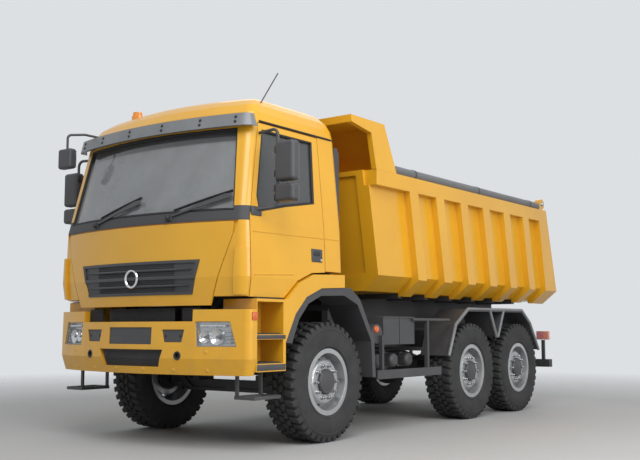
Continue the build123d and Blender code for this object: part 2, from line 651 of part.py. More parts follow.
def make_cab():
    outer, inner = cab_solid(0), cab_solid(CAB_WALL)
    shell = outer - inner
    door_back, seal_face = cab_solid(DOOR_THICK), cab_solid(DOOR_THICK + SEAT_PLAY)
    seal_ring = seal_face - inner
    flap_back, flap_seat = cab_solid(FLAP_THICK), cab_solid(FLAP_THICK + SEAT_PLAY)
    pane = cab_solid(GLASS_INSET) - cab_solid(GLASS_INSET + GLASS_THICK)
    wide = (-1400, 1400)

    def ahead_of_door(back, low=CAB_LOW):
        gap = SHUT_GAP - back
        edge = [(DOOR_FRONT + gap, low), (DOOR_FRONT + gap, 2000),
                (pillar_front(CAB_EAVES) + gap, CAB_EAVES)]
        return side_prism([(1600, low)] + edge + [(1600, CAB_EAVES)], wide)

    def behind_door(forward):
        return block((-400, DOOR_REAR - SHUT_GAP + forward), wide, (1594, CAB_EAVES))

    screen = front_prism(SCREEN_OUTLINE, (850, 1500))
    front = (shell & ahead_of_door(0)) + (seal_ring & ahead_of_door(SHUT_GAP + SEAL_LIP))
    front -= screen
    front -= front_prism(flap_outline(SHUT_GAP), FRONT_REACH) & (cab_solid(-50) - flap_seat)
    bulge = front_prism([(1105, 1345), (1240, 1345), (1240, 1750), (1130, 1750)], (1175, 1400))
    front += (cab_solid(-22) - cab_solid(5)) & bulge
    front += flip((cab_solid(-22) - cab_solid(5)) & bulge)
    save("cab_front", front)
    save("cab_back", (shell & behind_door(0)) + (seal_ring & behind_door(SHUT_GAP + SEAL_LIP)))
    save("cab_roof", shell & block((-400, 1600), wide, (CAB_EAVES, 3300)))
    save("windscreen", pane & screen)

    floor = [(-300, 1590), (-300, 1650), (560, 1650), (720, 1395),
             (1400, 1395), (1400, CAB_LOW), (680, CAB_LOW), (520, 1590)]
    floor_part = side_prism(floor, wide) & inner
    x, z = CAB_PIVOT
    arm = [(x - 35, z + 10), (720, CAB_LOW + 5), (830, CAB_LOW + 5), (x + 40, z + 20)]
    for y in (CAB_ARM_Y, (-CAB_ARM_Y[1], -CAB_ARM_Y[0])):
        floor_part += side_prism(arm, y) + rod_y(50, x, z, y)
        floor_part -= rod_y(CAB_PIN_R + PIN_PLAY, x, z, y)
    save("cab_floor", floor_part)

    door_region = side_prism(DOOR_OUTLINE, (900, 1400))
    window = side_prism(DOOR_WINDOW, (900, 1400))
    door = ((outer - door_back) & door_region) - window
    # The rounded front edge turns inwards as the door opens, so it is thin enough to pass the seal lip.
    door -= cab_solid(DOOR_EDGE_THICK) & ahead_of_door(SHUT_GAP + DOOR_EDGE_WIDTH, CAB_LOW - 100)
    glass = pane & window
    for side, piece in (("left", lambda part: part), ("right", flip)):
        save(f"door_{side}", piece(door))
        save(f"door_glass_{side}", piece(glass))
        save(f"mirrors_{side}", piece(mirrors() - outer))

    opening = front_prism(GRILLE_OUTLINE, FRONT_REACH)
    flap = (outer - flap_back) & front_prism(flap_outline(0), FRONT_REACH)
    save("hood_flap", flap - opening - flap_corner() - flip(flap_corner()))
    grille = (cab_solid(-6) - flap_back) & opening
    for low, top in ((1380, 1490), (1520, 1630)):
        slot = front_prism([(735, top), (715, low), (-715, low), (-735, top)], FRONT_REACH)
        grille -= slot & (cab_solid(-20) - cab_solid(6))
    save("grille", grille)

    band = front_prism([(1130, 2950), (1160, 2835), (-1160, 2835), (-1130, 2950)], (800, 1500))
    brim = (cab_solid(-75) - cab_solid(-45)) & band
    brim += (cab_solid(-46) - outer) & block((800, 1500), (-40, 40), (2900, 2925))
    for y in (-950, 910):
        brim += (cab_solid(-46) - outer) & block((800, 1500), (y, y + 40), (2900, 2925))
    save("sun_visor", brim)
    save("beacon", beacon())
    save("cab_fittings", cab_fittings(outer))
    save("dashboard", dashboard())
    save("seats", both(seat()))


def mirrors():
    """Left mirror bracket with a large and a small housing."""
    tube = pipe([(935, 1110, 2790), (950, 1350, 2800), (955, 1350, 2110), (1060, 1175, 2085)], 14, 60)
    large = fillet(block((880, 990), (1340, 1545), (2330, 2680)).edges(), 30)
    small = fillet(block((880, 990), (1340, 1545), (2150, 2305)).edges(), 30)
    return tube + large + small


def beacon():
    part = Pos(ahead(860), -560, 3085) * Cylinder(60, 100, align=CENTRE_LOW)
    part += Pos(ahead(860), -560, 3150) * Cylinder(48, 75, align=CENTRE_LOW)
    return part - cab_solid(0)


def cab_fittings(outer):
    """Wipers, aerial, kerb mirror and the air intake behind the cab."""
    pieces = []
    sweep_skin = cab_solid(-16) - cab_solid(-4)
    for y in (-560, 430):
        arm = [(y, 2040), (y + 40, 2040), (y + 620, 2190), (y + 620, 2225), (y + 560, 2225)]
        foot = [(y - 10, 2010), (y + 50, 2010), (y + 50, 2055), (y - 10, 2055)]
        blade = front_prism(arm, (900, 1500))
        pivot = front_prism(foot, (900, 1500))
        pieces.append((sweep_skin & blade) + ((cab_solid(-16) - outer) & pivot))
    aerial = rod((825, 1010, 3060), (545, 1010, 3440), 6)
    pieces.append(aerial - outer)
    kerb = fillet(block((1275, 1365), (-1165, -975), (2640, 2840)).edges(), 25)
    kerb += pipe([(960, -930, 2985), (1180, -980, 3000), (1320, -1070, 2985), (1320, -1070, 2830)], 12, 40)
    pieces.append(kerb - outer)
    duct = [(-245, 1620), (-335, 1620), (-335, 2790), (-300, 2850), (-245, 2850)]
    pieces.append(side_prism(duct, (900, 1080)) - outer)
    return pieces


def dashboard():
    """Dashboard with the steering wheel."""
    board = [(830, 1830), (830, 1990), (960, 2040), (1400, 2040), (1400, 1740), (950, 1740)]
    dash = side_prism(board, (-1300, 1300)) & cab_solid(CAB_WALL + 15)
    dash += block((1060, 1400), (-900, 900), (1780, 1960)) & cab_solid(CAB_WALL)
    x, z = STEERING_HUB
    hub = Pos(ahead(x), SEAT_Y, z) * Rot(0, -35, 0)
    dash += hub * Torus(225, 17) + hub * Box(440, 40, 24)
    return dash + rod((x, SEAT_Y, z), (870, SEAT_Y, 1900), 28)


def seat():
    """Left seat: cushion, backrest, headrest and base."""
    def slab(x, half, z):
        return block(x, (SEAT_Y - half, SEAT_Y + half), z)

    return (slab((40, 520), 240, (1790, 1930)) + slab((0, 130), 230, (1900, 2480))
            + slab((10, 110), 140, (2479, 2680)) + slab((120, 460), 160, (1650, 1791)))


# Tipping bed

def bed_front_x(z):
    return BED_FRONT - BED_FRONT_LEAN * (BED_FRONT_LEVEL - z)


def bed_rear_x(z):
    return REAR_END + BED_REAR_LEAN * (z - BED_LOW)


BED_RANGE = (-6000, 0)


def bed_side():
    """Left wall with its top rail, slanting ribs, rear post and gate lug."""
    inner = BED_PANEL_Y - BED_WALL
    outside = [(BED_PANEL_Y, RAIL_BAND_LOW + 40), (BED_PANEL_Y, CHINE_TOP + 30),
               (BED_FLOOR_HALF, BED_FLOOR_LOW)]
    inside = [(BED_FLOOR_HALF, BED_FLOOR_TOP), (inner, CHINE_TOP + 50), (inner, RAIL_BAND_LOW + 40)]
    panel = front_prism(outside + inside, BED_RANGE)
    top = RAIL_BAND_LOW + 45
    panel &= side_prism([(bed_front_x(BED_LOW) - FRONT_WALL, BED_LOW), (bed_front_x(top) - FRONT_WALL, top),
                         (bed_rear_x(top), top), (bed_rear_x(BED_LOW), BED_LOW)], (800, 1300))
    band = [(-763, RAIL_BAND_LOW), (-763, RAIL_BAND_TOP), (bed_rear_x(RAIL_BAND_TOP), RAIL_BAND_TOP),
            (bed_rear_x(RAIL_BAND_LOW), RAIL_BAND_LOW)]
    part = panel + side_prism(band, (RAIL_BAND_INNER, BED_HALF_WIDTH))
    section = [(BED_PANEL_Y - 15, RAIL_BAND_LOW + 5), (BED_HALF_WIDTH, RAIL_BAND_LOW + 5),
               (BED_HALF_WIDTH, CHINE_TOP), (1020, BED_LOW), (BED_FLOOR_HALF + 5, BED_LOW),
               (BED_FLOOR_HALF + 5, BED_FLOOR_LOW + 20), (BED_PANEL_Y - 15, CHINE_TOP + 40)]
    cross = front_prism(section, BED_RANGE)

    def lean(x, z):
        return x + BED_FRONT_LEAN * (z - BED_FRONT_LEVEL)

    top = RAIL_BAND_LOW + 10
    fronts = [RIB_FIRST - index * RIB_PITCH for index in range(RIB_COUNT)]
    for x in fronts:
        rib = [(lean(x, BED_LOW), BED_LOW), (lean(x, top), top), (lean(x, top) - RIB_WIDTH, top),
               (lean(x, BED_LOW) - RIB_WIDTH, BED_LOW)]
        part += cross & side_prism(rib, (900, 1300))
    post = [(lean(POST_FRONT, BED_LOW), BED_LOW), (lean(POST_FRONT, top), top), (bed_rear_x(top), top),
            (bed_rear_x(BED_LOW), BED_LOW)]
    part += cross & side_prism(post, (900, 1300))
    x, z = GATE_PIVOT
    foot = RAIL_BAND_TOP - 5
    lug_y = (RAIL_BAND_INNER + 5, 1190)
    lug = side_prism([(x + 120, foot), (x + 55, z), (x - 55, z), (x + 12, foot)], lug_y)
    lug += rod_y(70, x, z, lug_y)
    part += lug + rod_y(GATE_PIN_R, x, z, (985, RAIL_BAND_INNER + 10))
    return part


def bed_front():
    """Headboard with a recessed panel on either side."""
    half = [(RAIL_BAND_INNER, RAIL_BAND_TOP), (RAIL_BAND_INNER, RAIL_BAND_LOW),
            (BED_PANEL_Y, RAIL_BAND_LOW), (BED_PANEL_Y, CHINE_TOP + 30), (BED_FLOOR_HALF, BED_FLOOR_LOW)]
    region = front_prism(mirrored(half), BED_RANGE)

    def slab(front, back, y):
        low, top = BED_LOW, RAIL_BAND_TOP
        return side_prism([(bed_front_x(low) - front, low), (bed_front_x(top) - front, top),
                           (bed_front_x(top) - back, top), (bed_front_x(low) - back, low)], y)

    wall = region & slab(0, FRONT_WALL, (-1300, 1300))
    outline = [(1010, 2640), (1010, 1640), (560, 1560), (560, 2640)]
    recess = slab(-5, 30, (560, 1010)) & front_prism(outline, BED_RANGE)
    return wall - recess - flip(recess)


def bed_canopy():
    """Spill guard over the cab: two side gussets, a top plate and a sloping back plate."""
    gusset = [(-303, 3179), (-320, 3107), (-670, 3051), (-758, RAIL_BAND_TOP),
              (-1148, RAIL_BAND_TOP), (-910, 3179)]
    part = side_prism(gusset, (1190, BED_HALF_WIDTH))
    part += flip(part)
    top = [(-303, 3179), (-320, 3107), (-345, 3107), (-340, 3139), (-870, 3139), (-910, 3179)]
    back = [(-910, 3179), (-1148, RAIL_BAND_TOP), (-1100, RAIL_BAND_TOP), (-870, 3139)]
    return part + side_prism(top, (-1191, 1191)) + side_prism(back, (-1191, 1191))


def bed_floor():
    """Floor plate, cross bearers and the two long beams with their hinge eyes."""
    gate_room = GATE_THICK + GATE_RIB + 8 + SHUT_GAP
    half = BED_FLOOR_HALF
    plate = block(BED_RANGE, (-half, half), (BED_FLOOR_LOW, BED_FLOOR_TOP))
    low, top = BED_FLOOR_LOW - 50, BED_FLOOR_TOP + 50
    ends = [(bed_front_x(low) - FRONT_WALL, low), (bed_front_x(top) - FRONT_WALL, top),
            (bed_rear_x(top) + gate_room, top), (bed_rear_x(low) + gate_room, low)]
    plate &= side_prism(ends, (-1300, 1300))
    x, z = BED_PIVOT
    beam = block((x, -1010), BEAM_Y, (BEAM_LOW, BED_FLOOR_LOW + 1))
    beam += rod_y(BED_PIVOT_EYE_R, x, z, BEAM_Y)
    beam += block((x - BED_PIVOT_EYE_R, x), BEAM_Y, (z, BED_FLOOR_LOW + 1))
    beam -= rod_y(BED_PIVOT_R + PIN_PLAY, x, z, BEAM_Y)
    part = plate + beam + flip(beam)
    for y in (HOIST_Y - 66, HOIST_Y + 48):
        eye = block((HOIST_X - 60, HOIST_X + 60), (y, y + 18), (HOIST_EYE_Z - 50, BED_FLOOR_LOW + 1))
        part += eye + flip(eye)
    for index in range(RIB_COUNT):
        x = RIB_FIRST - index * RIB_PITCH - RIB_WIDTH - 100
        part += block((x, x + 80), (-half, half), (BED_LOW - 20, BED_FLOOR_LOW + 1))
    return part


def tailgate():
    low, top = 1445, 2680
    foot = BED_FLOOR_HALF - 12
    half = [(GATE_HALF, top), (GATE_HALF, CHINE_TOP + 62), (foot, BED_FLOOR_TOP + 12), (foot, low)]
    region = front_prism(mirrored(half), BED_RANGE)

    def slab(back, front, z=(low - 50, top + 50), y=(-1300, 1300)):
        return side_prism([(bed_rear_x(z[0]) + back, z[0]), (bed_rear_x(z[1]) + back, z[1]),
                           (bed_rear_x(z[1]) + front, z[1]), (bed_rear_x(z[0]) + front, z[0])], y)

    plate_back = 8 + GATE_RIB
    part = region & slab(plate_back, plate_back + GATE_THICK)
    for y in (-1095, -560, -50, 460, 995):
        part += region & slab(8, plate_back + 1, y=(y, y + 100))
    for z in (1445, 2020, 2600):
        part += region & slab(8, plate_back + 1, z=(z, z + 80))
    x, z = GATE_PIVOT
    for y in ((1000, 1080), (-1080, -1000)):
        back = bed_rear_x(2600)
        arm = [(back + plate_back + GATE_THICK, 2600), (back + 20, 2600), (x - 35, z), (x + 40, z)]
        part += side_prism(arm, y) + rod_y(45, x, z, y)
        part -= rod_y(GATE_PIN_R + PIN_PLAY, x, z, y)
    return part


def sheet_roll():
    """Rolled sheet that lies along the left top rail."""
    z = RAIL_BAND_TOP + ROLL_R + SEAT_PLAY
    return rod((-1170, ROLL_Y, z), (-4900, ROLL_Y, z), ROLL_R)


# Hoist

def make_hoist():
    """Twin telescopic rams: barrels on trunnions, then each stage inside the one before."""
    for index, (outer, foot, head) in enumerate(HOIST_STAGES):
        last = index == len(HOIST_STAGES) - 1
        tube = rod_z(outer, HOIST_X, HOIST_Y, (foot, head))
        if not last:
            bore = HOIST_STAGES[index + 1][0] + SEAT_PLAY
            tube -= rod_z(bore, HOIST_X, HOIST_Y, (HOIST_STAGES[index + 1][1] - SEAT_PLAY, head))
        if index == 0:
            reach = (HOIST_Y + outer - 2, RAIL_OUTER_Y - RAIL_FLANGE - 2)
            tube += rod_y(TRUNNION_R, HOIST_X, TRUNNION_Z, reach)
            yoke = block((HOIST_X - 40, HOIST_X + 40), (-HOIST_Y + outer - 12, HOIST_Y - outer + 12),
                         (TRUNNION_Z - 40, TRUNNION_Z + 40))
            save("hoist_barrels", tube + flip(tube) + yoke)
            continue
        if last:
            tube += rod_z(30, HOIST_X, HOIST_Y, (head - 1, HOIST_EYE_Z))
            tube += rod_y(HOIST_EYE_R, HOIST_X, HOIST_EYE_Z, (HOIST_Y - 30, HOIST_Y + 30))
            tube += rod_y(GATE_PIN_R, HOIST_X, HOIST_EYE_Z, (HOIST_Y - 42, HOIST_Y + 42))
        save(f"hoist_stage_{index}", both(tube))


def main():
    os.makedirs("parts", exist_ok=True)
    make_wheels()
    save("front_axle", front_axle())
    left = knuckle()
    save("knuckle_left", left)
    save("knuckle_right", flip(left))
    save("tie_rod", tie_rod())
    save("leaf_springs", leaf_springs())
    save("rear_axles", rear_axles())
    save("frame", frame())
    save("engine", engine())
    save("radiator", radiator())
    save("fuel_tank", fuel_tank())
    save("battery_and_air_tanks", battery_and_air_tanks())
    save("side_guards", side_guards())
    save("mudguards", mudguards())
    save("step_wells", step_wells())
    save("bumper", bumper())
    save("bumper_inserts", bumper_inserts())
    save("lamps", lamps())
    make_cab()
    save("bed_sides", both(bed_side()))
    save("bed_front", bed_front())
    save("bed_canopy", bed_canopy())
    save("bed_floor", bed_floor())
    save("tailgate", tailgate())
    save("sheet_roll", sheet_roll())
    make_hoist()


main()
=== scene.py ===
# %% [markdown]
# # Dressing a dump truck
# The solids of the truck are the fixed frame: they give every piece its place and its motion. This lesson adds
# what a maker's drawing leaves out: tread, nuts, lamps, seals, weld beads and the finish of every surface.

# %% Load the frame
import math

import bpy
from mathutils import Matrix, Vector


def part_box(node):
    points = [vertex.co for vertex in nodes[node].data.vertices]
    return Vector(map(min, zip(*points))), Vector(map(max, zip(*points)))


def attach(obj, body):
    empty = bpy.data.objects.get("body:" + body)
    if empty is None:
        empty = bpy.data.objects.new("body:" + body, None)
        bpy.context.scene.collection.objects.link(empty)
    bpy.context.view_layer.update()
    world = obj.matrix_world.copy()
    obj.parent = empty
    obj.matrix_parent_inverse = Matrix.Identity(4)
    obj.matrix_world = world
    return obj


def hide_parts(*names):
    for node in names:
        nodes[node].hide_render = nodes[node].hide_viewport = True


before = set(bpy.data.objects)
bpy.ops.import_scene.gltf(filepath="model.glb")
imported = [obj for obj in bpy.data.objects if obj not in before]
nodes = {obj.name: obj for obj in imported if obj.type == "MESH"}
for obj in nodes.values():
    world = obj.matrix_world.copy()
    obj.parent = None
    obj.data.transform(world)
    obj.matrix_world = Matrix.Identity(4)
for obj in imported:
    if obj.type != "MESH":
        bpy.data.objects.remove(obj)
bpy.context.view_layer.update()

SIDES = (("left", 1), ("right", -1))
AXLES = ("front", "middle", "rear")


def middle(node):
    """Centre of a node's box."""
    low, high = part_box(node)
    return (low + high) / 2


FRONT_AXLE = middle("tyre_front_left").x


def at(ahead, y, z):
    """Point given by its distance ahead of the front axle, in metres."""
    return Vector((FRONT_AXLE + ahead, y, z))


# %% [markdown]
# ## Shader maths as Python
# A finish is a sum of masks: clouds, grain, dust near the road. Written with nodes alone, such sums are hard to
# read. One small class wraps a socket, so that `1 - dust * 0.4` adds the Math nodes by itself.

# %% A socket that Python can calculate with


class Socket:
    """One output in a node tree. Arithmetic on it adds Math nodes."""

    def __init__(self, tree, output=None):
        self.tree = tree
        self.output = output

    def node(self, kind, settings=None, links=None, out=0):
        """Add any node: its settings first, then values or links for its inputs."""
        made = self.tree.nodes.new(kind)
        for key, value in (settings or {}).items():
            setattr(made, key, value)
        for key, value in (links or {}).items():
            if isinstance(value, Socket):
                self.tree.links.new(value.output, made.inputs[key])
            else:
                made.inputs[key].default_value = value
        return Socket(self.tree, made.outputs[out])

    def math(self, operation, first, second):
        return self.node("ShaderNodeMath", {"operation": operation}, {0: first, 1: second})

    def __add__(self, other):
        return self.math("ADD", self, other)

    def __sub__(self, other):
        return self.math("SUBTRACT", self, other)

    def __rsub__(self, other):
        return self.math("SUBTRACT", other, self)

    def __mul__(self, other):
        return self.math("MULTIPLY", self, other)

    def __truediv__(self, other):
        return self.math("DIVIDE", self, other)

    def __gt__(self, other):
        return self.math("GREATER_THAN", self, other)

    def __lt__(self, other):
        return self.math("LESS_THAN", self, other)

    __radd__ = __add__
    __rmul__ = __mul__

    def ramp(self, low, high):
        """0 below low, 1 above high."""
        return self.node("ShaderNodeMapRange", {"clamp": True}, {"Value": self, "From Min": low, "From Max": high})

    def mix(self, base, top):
        """Base colour where this mask is 0, top colour where it is 1."""
        links = {0: self, 6: base, 7: top}
        return self.node("ShaderNodeMix", {"data_type": "RGBA"}, links, out=2)


def rgb(red, green, blue):
    """Colour from the 0 to 255 values of a screen, made linear."""
    linear = [c / 255 / 12.92 if c < 10.5 else ((c / 255 + 0.055) / 1.055) ** 2.4 for c in (red, green, blue)]
    return (*linear, 1)


def finish(name):
    """New material: returns it with the root of its tree, its shader and its Object coordinates."""
    made = bpy.data.materials.new(name)
    made.use_nodes = True
    root = Socket(made.node_tree)
    place = root.node("ShaderNodeTexCoord", out="Object")
    return made, root, made.node_tree.nodes["Principled BSDF"], place


def feed(shader, **values):
    """Set or link the shader's sockets, named with underscores."""
    for name, value in values.items():
        socket = shader.inputs[name.replace("_", " ")]
        if isinstance(value, Socket):
            value.tree.links.new(value.output, socket)
        else:
            socket.default_value = value


def noise(root, place, scale, detail=3.0, roughness=0.55):
    links = {"Vector": place, "Scale": scale, "Detail": detail, "Roughness": roughness}
    return root.node("ShaderNodeTexNoise", {}, links)


def relief(root, height, distance, rounding):
    """Normal of a bumpy surface whose edges look rounded."""
    edge = root.node("ShaderNodeBevel", {"samples": 4}, {"Radius": rounding})
    return root.node("ShaderNodeBump", {}, {"Height": height, "Distance": distance, "Normal": edge})


def tinted(shade, factor):
    """Colour made paler or darker by a factor."""
    return tuple(min(1, part * factor) for part in shade[:3]) + (1,)


print("shader helpers ready")

# %% [markdown]
# ## Finishes
# The body is one yellow paint under a clear coat. Bought-in trim is moulded dark grey plastic with a fine grain.
# The running gear is satin black, the wheels silver. Each finish varies over the surface: road dust gathers low
# down, and large clouds keep broad panels from looking like a flat fill.

# %% Paint, plastic, rubber and metal
YELLOW = rgb(226, 169, 36)
YELLOW_DEEP = rgb(219, 160, 30)
DUST = rgb(112, 109, 104)
PLASTIC = rgb(62, 62, 64)
# dark zones on painted pieces: low height, top height, foremost x left yellow
COWL = (1.986, 2.115, FRONT_AXLE + 1.10)
# painted shade: the bed floor is darkened below its sides, where it lies in shadow
UNDER_BED_SHADE = (0.0, 1.446, -10.0)
# height above which the windscreen is darkened by a painted shadow of the visor
SCREEN_SHADOW_LOW = 2.705
ABOVE_ALL = 9.0


def paint(name, dark=None):
    """Clear-coated yellow, with a dark zone where a piece has one: a dark part, or painted shade."""
    made, root, shader, place = finish(name)
    cloud = noise(root, place, 1.3)
    peel = noise(root, place, 160, 2.0)
    apart = {"Vector": place}
    height = root.node("ShaderNodeSeparateXYZ", {}, apart, out="Z")
    low_down = 1 - height.ramp(0.5, 1.5)
    dust = low_down * noise(root, place, 7, 5.0).ramp(0.42, 0.75) * 0.22
    colour = dust.mix(cloud.ramp(0.3, 0.7).mix(YELLOW_DEEP, YELLOW), DUST)
    roughness = 0.34 + dust * 0.5 + peel * 0.05
    coat = 0.40 - dust
    if dark:
        low, top, behind = dark
        ahead = root.node("ShaderNodeSeparateXYZ", {}, apart, out="X")
        # the band is a dark part on the cab front, and painted shade under the bed
        band = (height > low) * (height < top) * (ahead > behind)
        colour = band.mix(colour, PLASTIC)
        roughness = roughness + band * 0.25
        coat = coat * (1 - band)
    feed(shader, Base_Color=colour, Roughness=roughness, Coat_Weight=coat, Coat_Roughness=0.16,
         Normal=relief(root, peel, 0.0004, 0.006))
    return made


def grained(name, shade, roughness, grain, depth, dusty=0.18, metallic=0.0):
    """Moulded or cast surface: a fine grain, with paler dust low down."""
    made, root, shader, place = finish(name)
    fine = noise(root, place, grain, 2.0)
    height = root.node("ShaderNodeSeparateXYZ", {}, {"Vector": place}, out="Z")
    dust = (1 - height.ramp(0.2, 1.3)) * noise(root, place, 5, 5.0).ramp(0.35, 0.8) * dusty
    worn = noise(root, place, 2.5).ramp(0.3, 0.75)
    feed(shader, Base_Color=dust.mix(worn.mix(shade, tinted(shade, 1.35)), DUST), Metallic=metallic,
         Roughness=roughness + fine * 0.12 + dust * 0.3, Normal=relief(root, fine, depth, 0.004))
    return made


def rubber():
    """Tyre rubber: matt, greyer where dust lies on the walls."""
    made, root, shader, place = finish("tyre_rubber")
    fine = noise(root, place, 220, 2.0)
    dust = noise(root, place, 6, 6.0).ramp(0.4, 0.8)
    feed(shader, Base_Color=(dust * 0.35).mix(rgb(43, 43, 44), rgb(80, 79, 77)), Roughness=0.72 + fine * 0.15,
         Normal=relief(root, fine, 0.0008, 0.003))
    return made


def silver():
    """Silver wheel paint with brake dust."""
    made, root, shader, place = finish("silver_paint")
    flake = noise(root, place, 500, 1.0)
    dirt = noise(root, place, 9, 6.0).ramp(0.5, 0.85)
    feed(shader, Base_Color=(dirt * 0.45).mix(rgb(186, 187, 188), rgb(92, 90, 87)), Metallic=0.75 - dirt * 0.4,
         Roughness=0.30 + dirt * 0.3 + flake * 0.06, Normal=relief(root, flake, 0.0002, 0.004))
    return made


def bright(name, shade, roughness):
    """Plated or ground steel with fine smears."""
    made, root, shader, place = finish(name)
    smear = noise(root, place, 30, 4.0)
    feed(shader, Base_Color=smear.mix(shade, tinted(shade, 0.82)), Metallic=1.0,
         Roughness=roughness + smear * 0.12)
    return made


def pane(name, shade, alpha, shadow_low=ABOVE_ALL):
    """Tinted glass or lens with a faint film of dust; a windscreen gets a painted shadow of the visor, a dark band
    above the height given.
    """
    made, root, shader, place = finish(name)
    film = noise(root, place, 3, 5.0).ramp(0.35, 0.8)
    height = root.node("ShaderNodeSeparateXYZ", {}, {"Vector": place}, out="Z")
    # painted shadow: the glass is darkened and made less clear at the top, where the visor shades it
    band = height.ramp(shadow_low, shadow_low + 0.02) * 0.8
    colour = film.mix(shade, tinted(shade, 1.25))
    feed(shader, Base_Color=band.mix(colour, rgb(28, 28, 27)), Roughness=0.04 + film * 0.06,
         Alpha=alpha + film * 0.05 + band * 0.3, Coat_Weight=0.6, Coat_Roughness=0.02)
    return made


def lens(name, shade, glow, facet):
    """Coloured lamp lens: prisms moulded inside, and a little light of its own."""
    made, root, shader, place = finish(name)
    prism = root.node("ShaderNodeTexVoronoi", {"feature": "F1"}, {"Vector": place, "Scale": facet})
    feed(shader, Base_Color=prism.mix(shade, tinted(shade, 0.6)), Roughness=0.12 + prism * 0.1, Coat_Weight=0.8,
         Emission_Color=shade, Emission_Strength=glow, Normal=relief(root, prism, 0.002, 0.003))
    return made


def cloth(name, shade, threads):
    """Woven cloth: crossing waves for the threads and a soft sheen."""
    made, root, shader, place = finish(name)
    warp = root.node("ShaderNodeTexWave", {"bands_direction": "X"}, {"Vector": place, "Scale": threads})
    weft = root.node("ShaderNodeTexWave", {"bands_direction": "Z"}, {"Vector": place, "Scale": threads})
    weave = warp * weft
    worn = noise(root, place, 6, 4.0)
    feed(shader, Base_Color=worn.mix(shade, tinted(shade, 1.5)), Roughness=0.75 + weave * 0.15,
         Normal=relief(root, weave, 0.0015, 0.004), Sheen_Weight=0.25)
    return made


YELLOW_PAINT = paint("yellow_paint")
CAB_FRONT_PAINT = paint("yellow_paint_with_cowl", COWL)
# bed floor: yellow, with painted shade below the sides
BED_FLOOR_SHADED_PAINT = paint("yellow_paint_painted_shade_below", UNDER_BED_SHADE)
DARK_PLASTIC = grained("dark_plastic", PLASTIC, 0.42, 260, 0.0007)
BLACK_PLASTIC = grained("black_plastic", rgb(38, 38, 40), 0.45, 260, 0.0007)
VISOR_PLASTIC = grained("visor_plastic", rgb(112, 114, 116), 0.28, 180, 0.0003, dusty=0.0)
CHASSIS_PAINT = grained("chassis_paint", rgb(44, 44, 46), 0.45, 70, 0.0010, dusty=0.30)
CAST_IRON = grained("cast_iron", rgb(74, 76, 78), 0.55, 120, 0.0025, dusty=0.35, metallic=0.4)
TANK_METAL = grained("tank_metal", rgb(150, 152, 154), 0.30, 40, 0.0006, dusty=0.4, metallic=0.9)
TYRE_RUBBER = rubber()
SEAL_RUBBER = grained("seal_rubber", rgb(24, 24, 25), 0.6, 300, 0.0004)
SILVER_PAINT = silver()
CHROME = bright("chrome", rgb(225, 226, 228), 0.06)
ROD_STEEL = bright("rod_steel", rgb(196, 198, 200), 0.16)
MIRROR = bright("mirror_glass", rgb(214, 220, 224), 0.02)
LAMP_SILVER = bright("lamp_silver", rgb(172, 174, 176), 0.20)
# the windscreen's pale grey is its tint and partly a painted reflection; its dark top is a painted shadow of the
# visor
SCREEN_GLASS_PAINTED_LIGHT = pane("screen_glass_painted_light", rgb(146, 149, 150), 0.58, SCREEN_SHADOW_LOW)
DOOR_GLASS = pane("door_glass", rgb(72, 74, 75), 0.72)
CLEAR_LENS = pane("clear_lens", rgb(210, 214, 216), 0.16)
AMBER_LENS = lens("amber_lens", rgb(226, 98, 14), 0.06, 160)
BEACON_LENS = lens("beacon_lens", rgb(240, 146, 28), 0.08, 60)
RED_LENS = lens("red_lens", rgb(186, 22, 18), 0.06, 160)
SEAT_CLOTH = cloth("seat_cloth", rgb(58, 60, 64), 120)
COVER_CLOTH = cloth("cover_cloth", rgb(92, 94, 96), 60)

NODE_FINISH = {
    YELLOW_PAINT: ("cab_back", "cab_roof", "door_left", "door_right", "hood_flap", "bumper", "step_wells",
                   "bed_sides", "bed_front", "bed_canopy", "tailgate"),
    CAB_FRONT_PAINT: ("cab_front",),
    BED_FLOOR_SHADED_PAINT: ("bed_floor",),
    DARK_PLASTIC: ("mudguards", "mirrors_left", "mirrors_right", "cab_fittings", "battery_and_air_tanks",
                   "bumper_inserts", "grille", "side_guards"),
    BLACK_PLASTIC: ("dashboard", "cab_floor", "radiator"),
    VISOR_PLASTIC: ("sun_visor",),
    CHASSIS_PAINT: ("frame", "front_axle", "knuckle_left", "knuckle_right", "tie_rod", "leaf_springs",
                    "rear_axles", "hoist_barrels"),
    CAST_IRON: ("engine",),
    TANK_METAL: ("fuel_tank",),
    SILVER_PAINT: tuple(f"wheel_{axle}_{side}" for axle in AXLES for side, _ in SIDES),
    TYRE_RUBBER: tuple(f"tyre_{axle}_{side}" for axle in AXLES for side, _ in SIDES),
    ROD_STEEL: ("hoist_stage_1", "hoist_stage_2", "hoist_stage_3"),
    SCREEN_GLASS_PAINTED_LIGHT: ("windscreen",),
    DOOR_GLASS: ("door_glass_left", "door_glass_right"),
    CLEAR_LENS: ("lamps",),
    BEACON_LENS: ("beacon",),
    COVER_CLOTH: ("sheet_roll",),
    SEAT_CLOTH: ("seats",),
}
for made, names in NODE_FINISH.items():
    for name in names:
        nodes[name].data.materials.clear()
        nodes[name].data.materials.append(made)
print("finishes", len(NODE_FINISH), "on", sum(len(names) for names in NODE_FINISH.values()), "nodes")

# %% [markdown]
# ## Modelling by hand, in code
# Each new piece starts from a primitive and is shaped with the operators a modeller would use: extrude a vertex
# into a line, spin the line into a turned part, give it thickness, bevel its edges. The helpers keep exactly one
# object selected, because an operator acts on everything that is.

# %% Helpers for modelling


def pick(obj):
    """Make one object the only selected and active one."""
    bpy.ops.object.select_all(action="DESELECT")
    obj.select_set(True)
    bpy.context.view_layer.objects.active = obj
    return obj


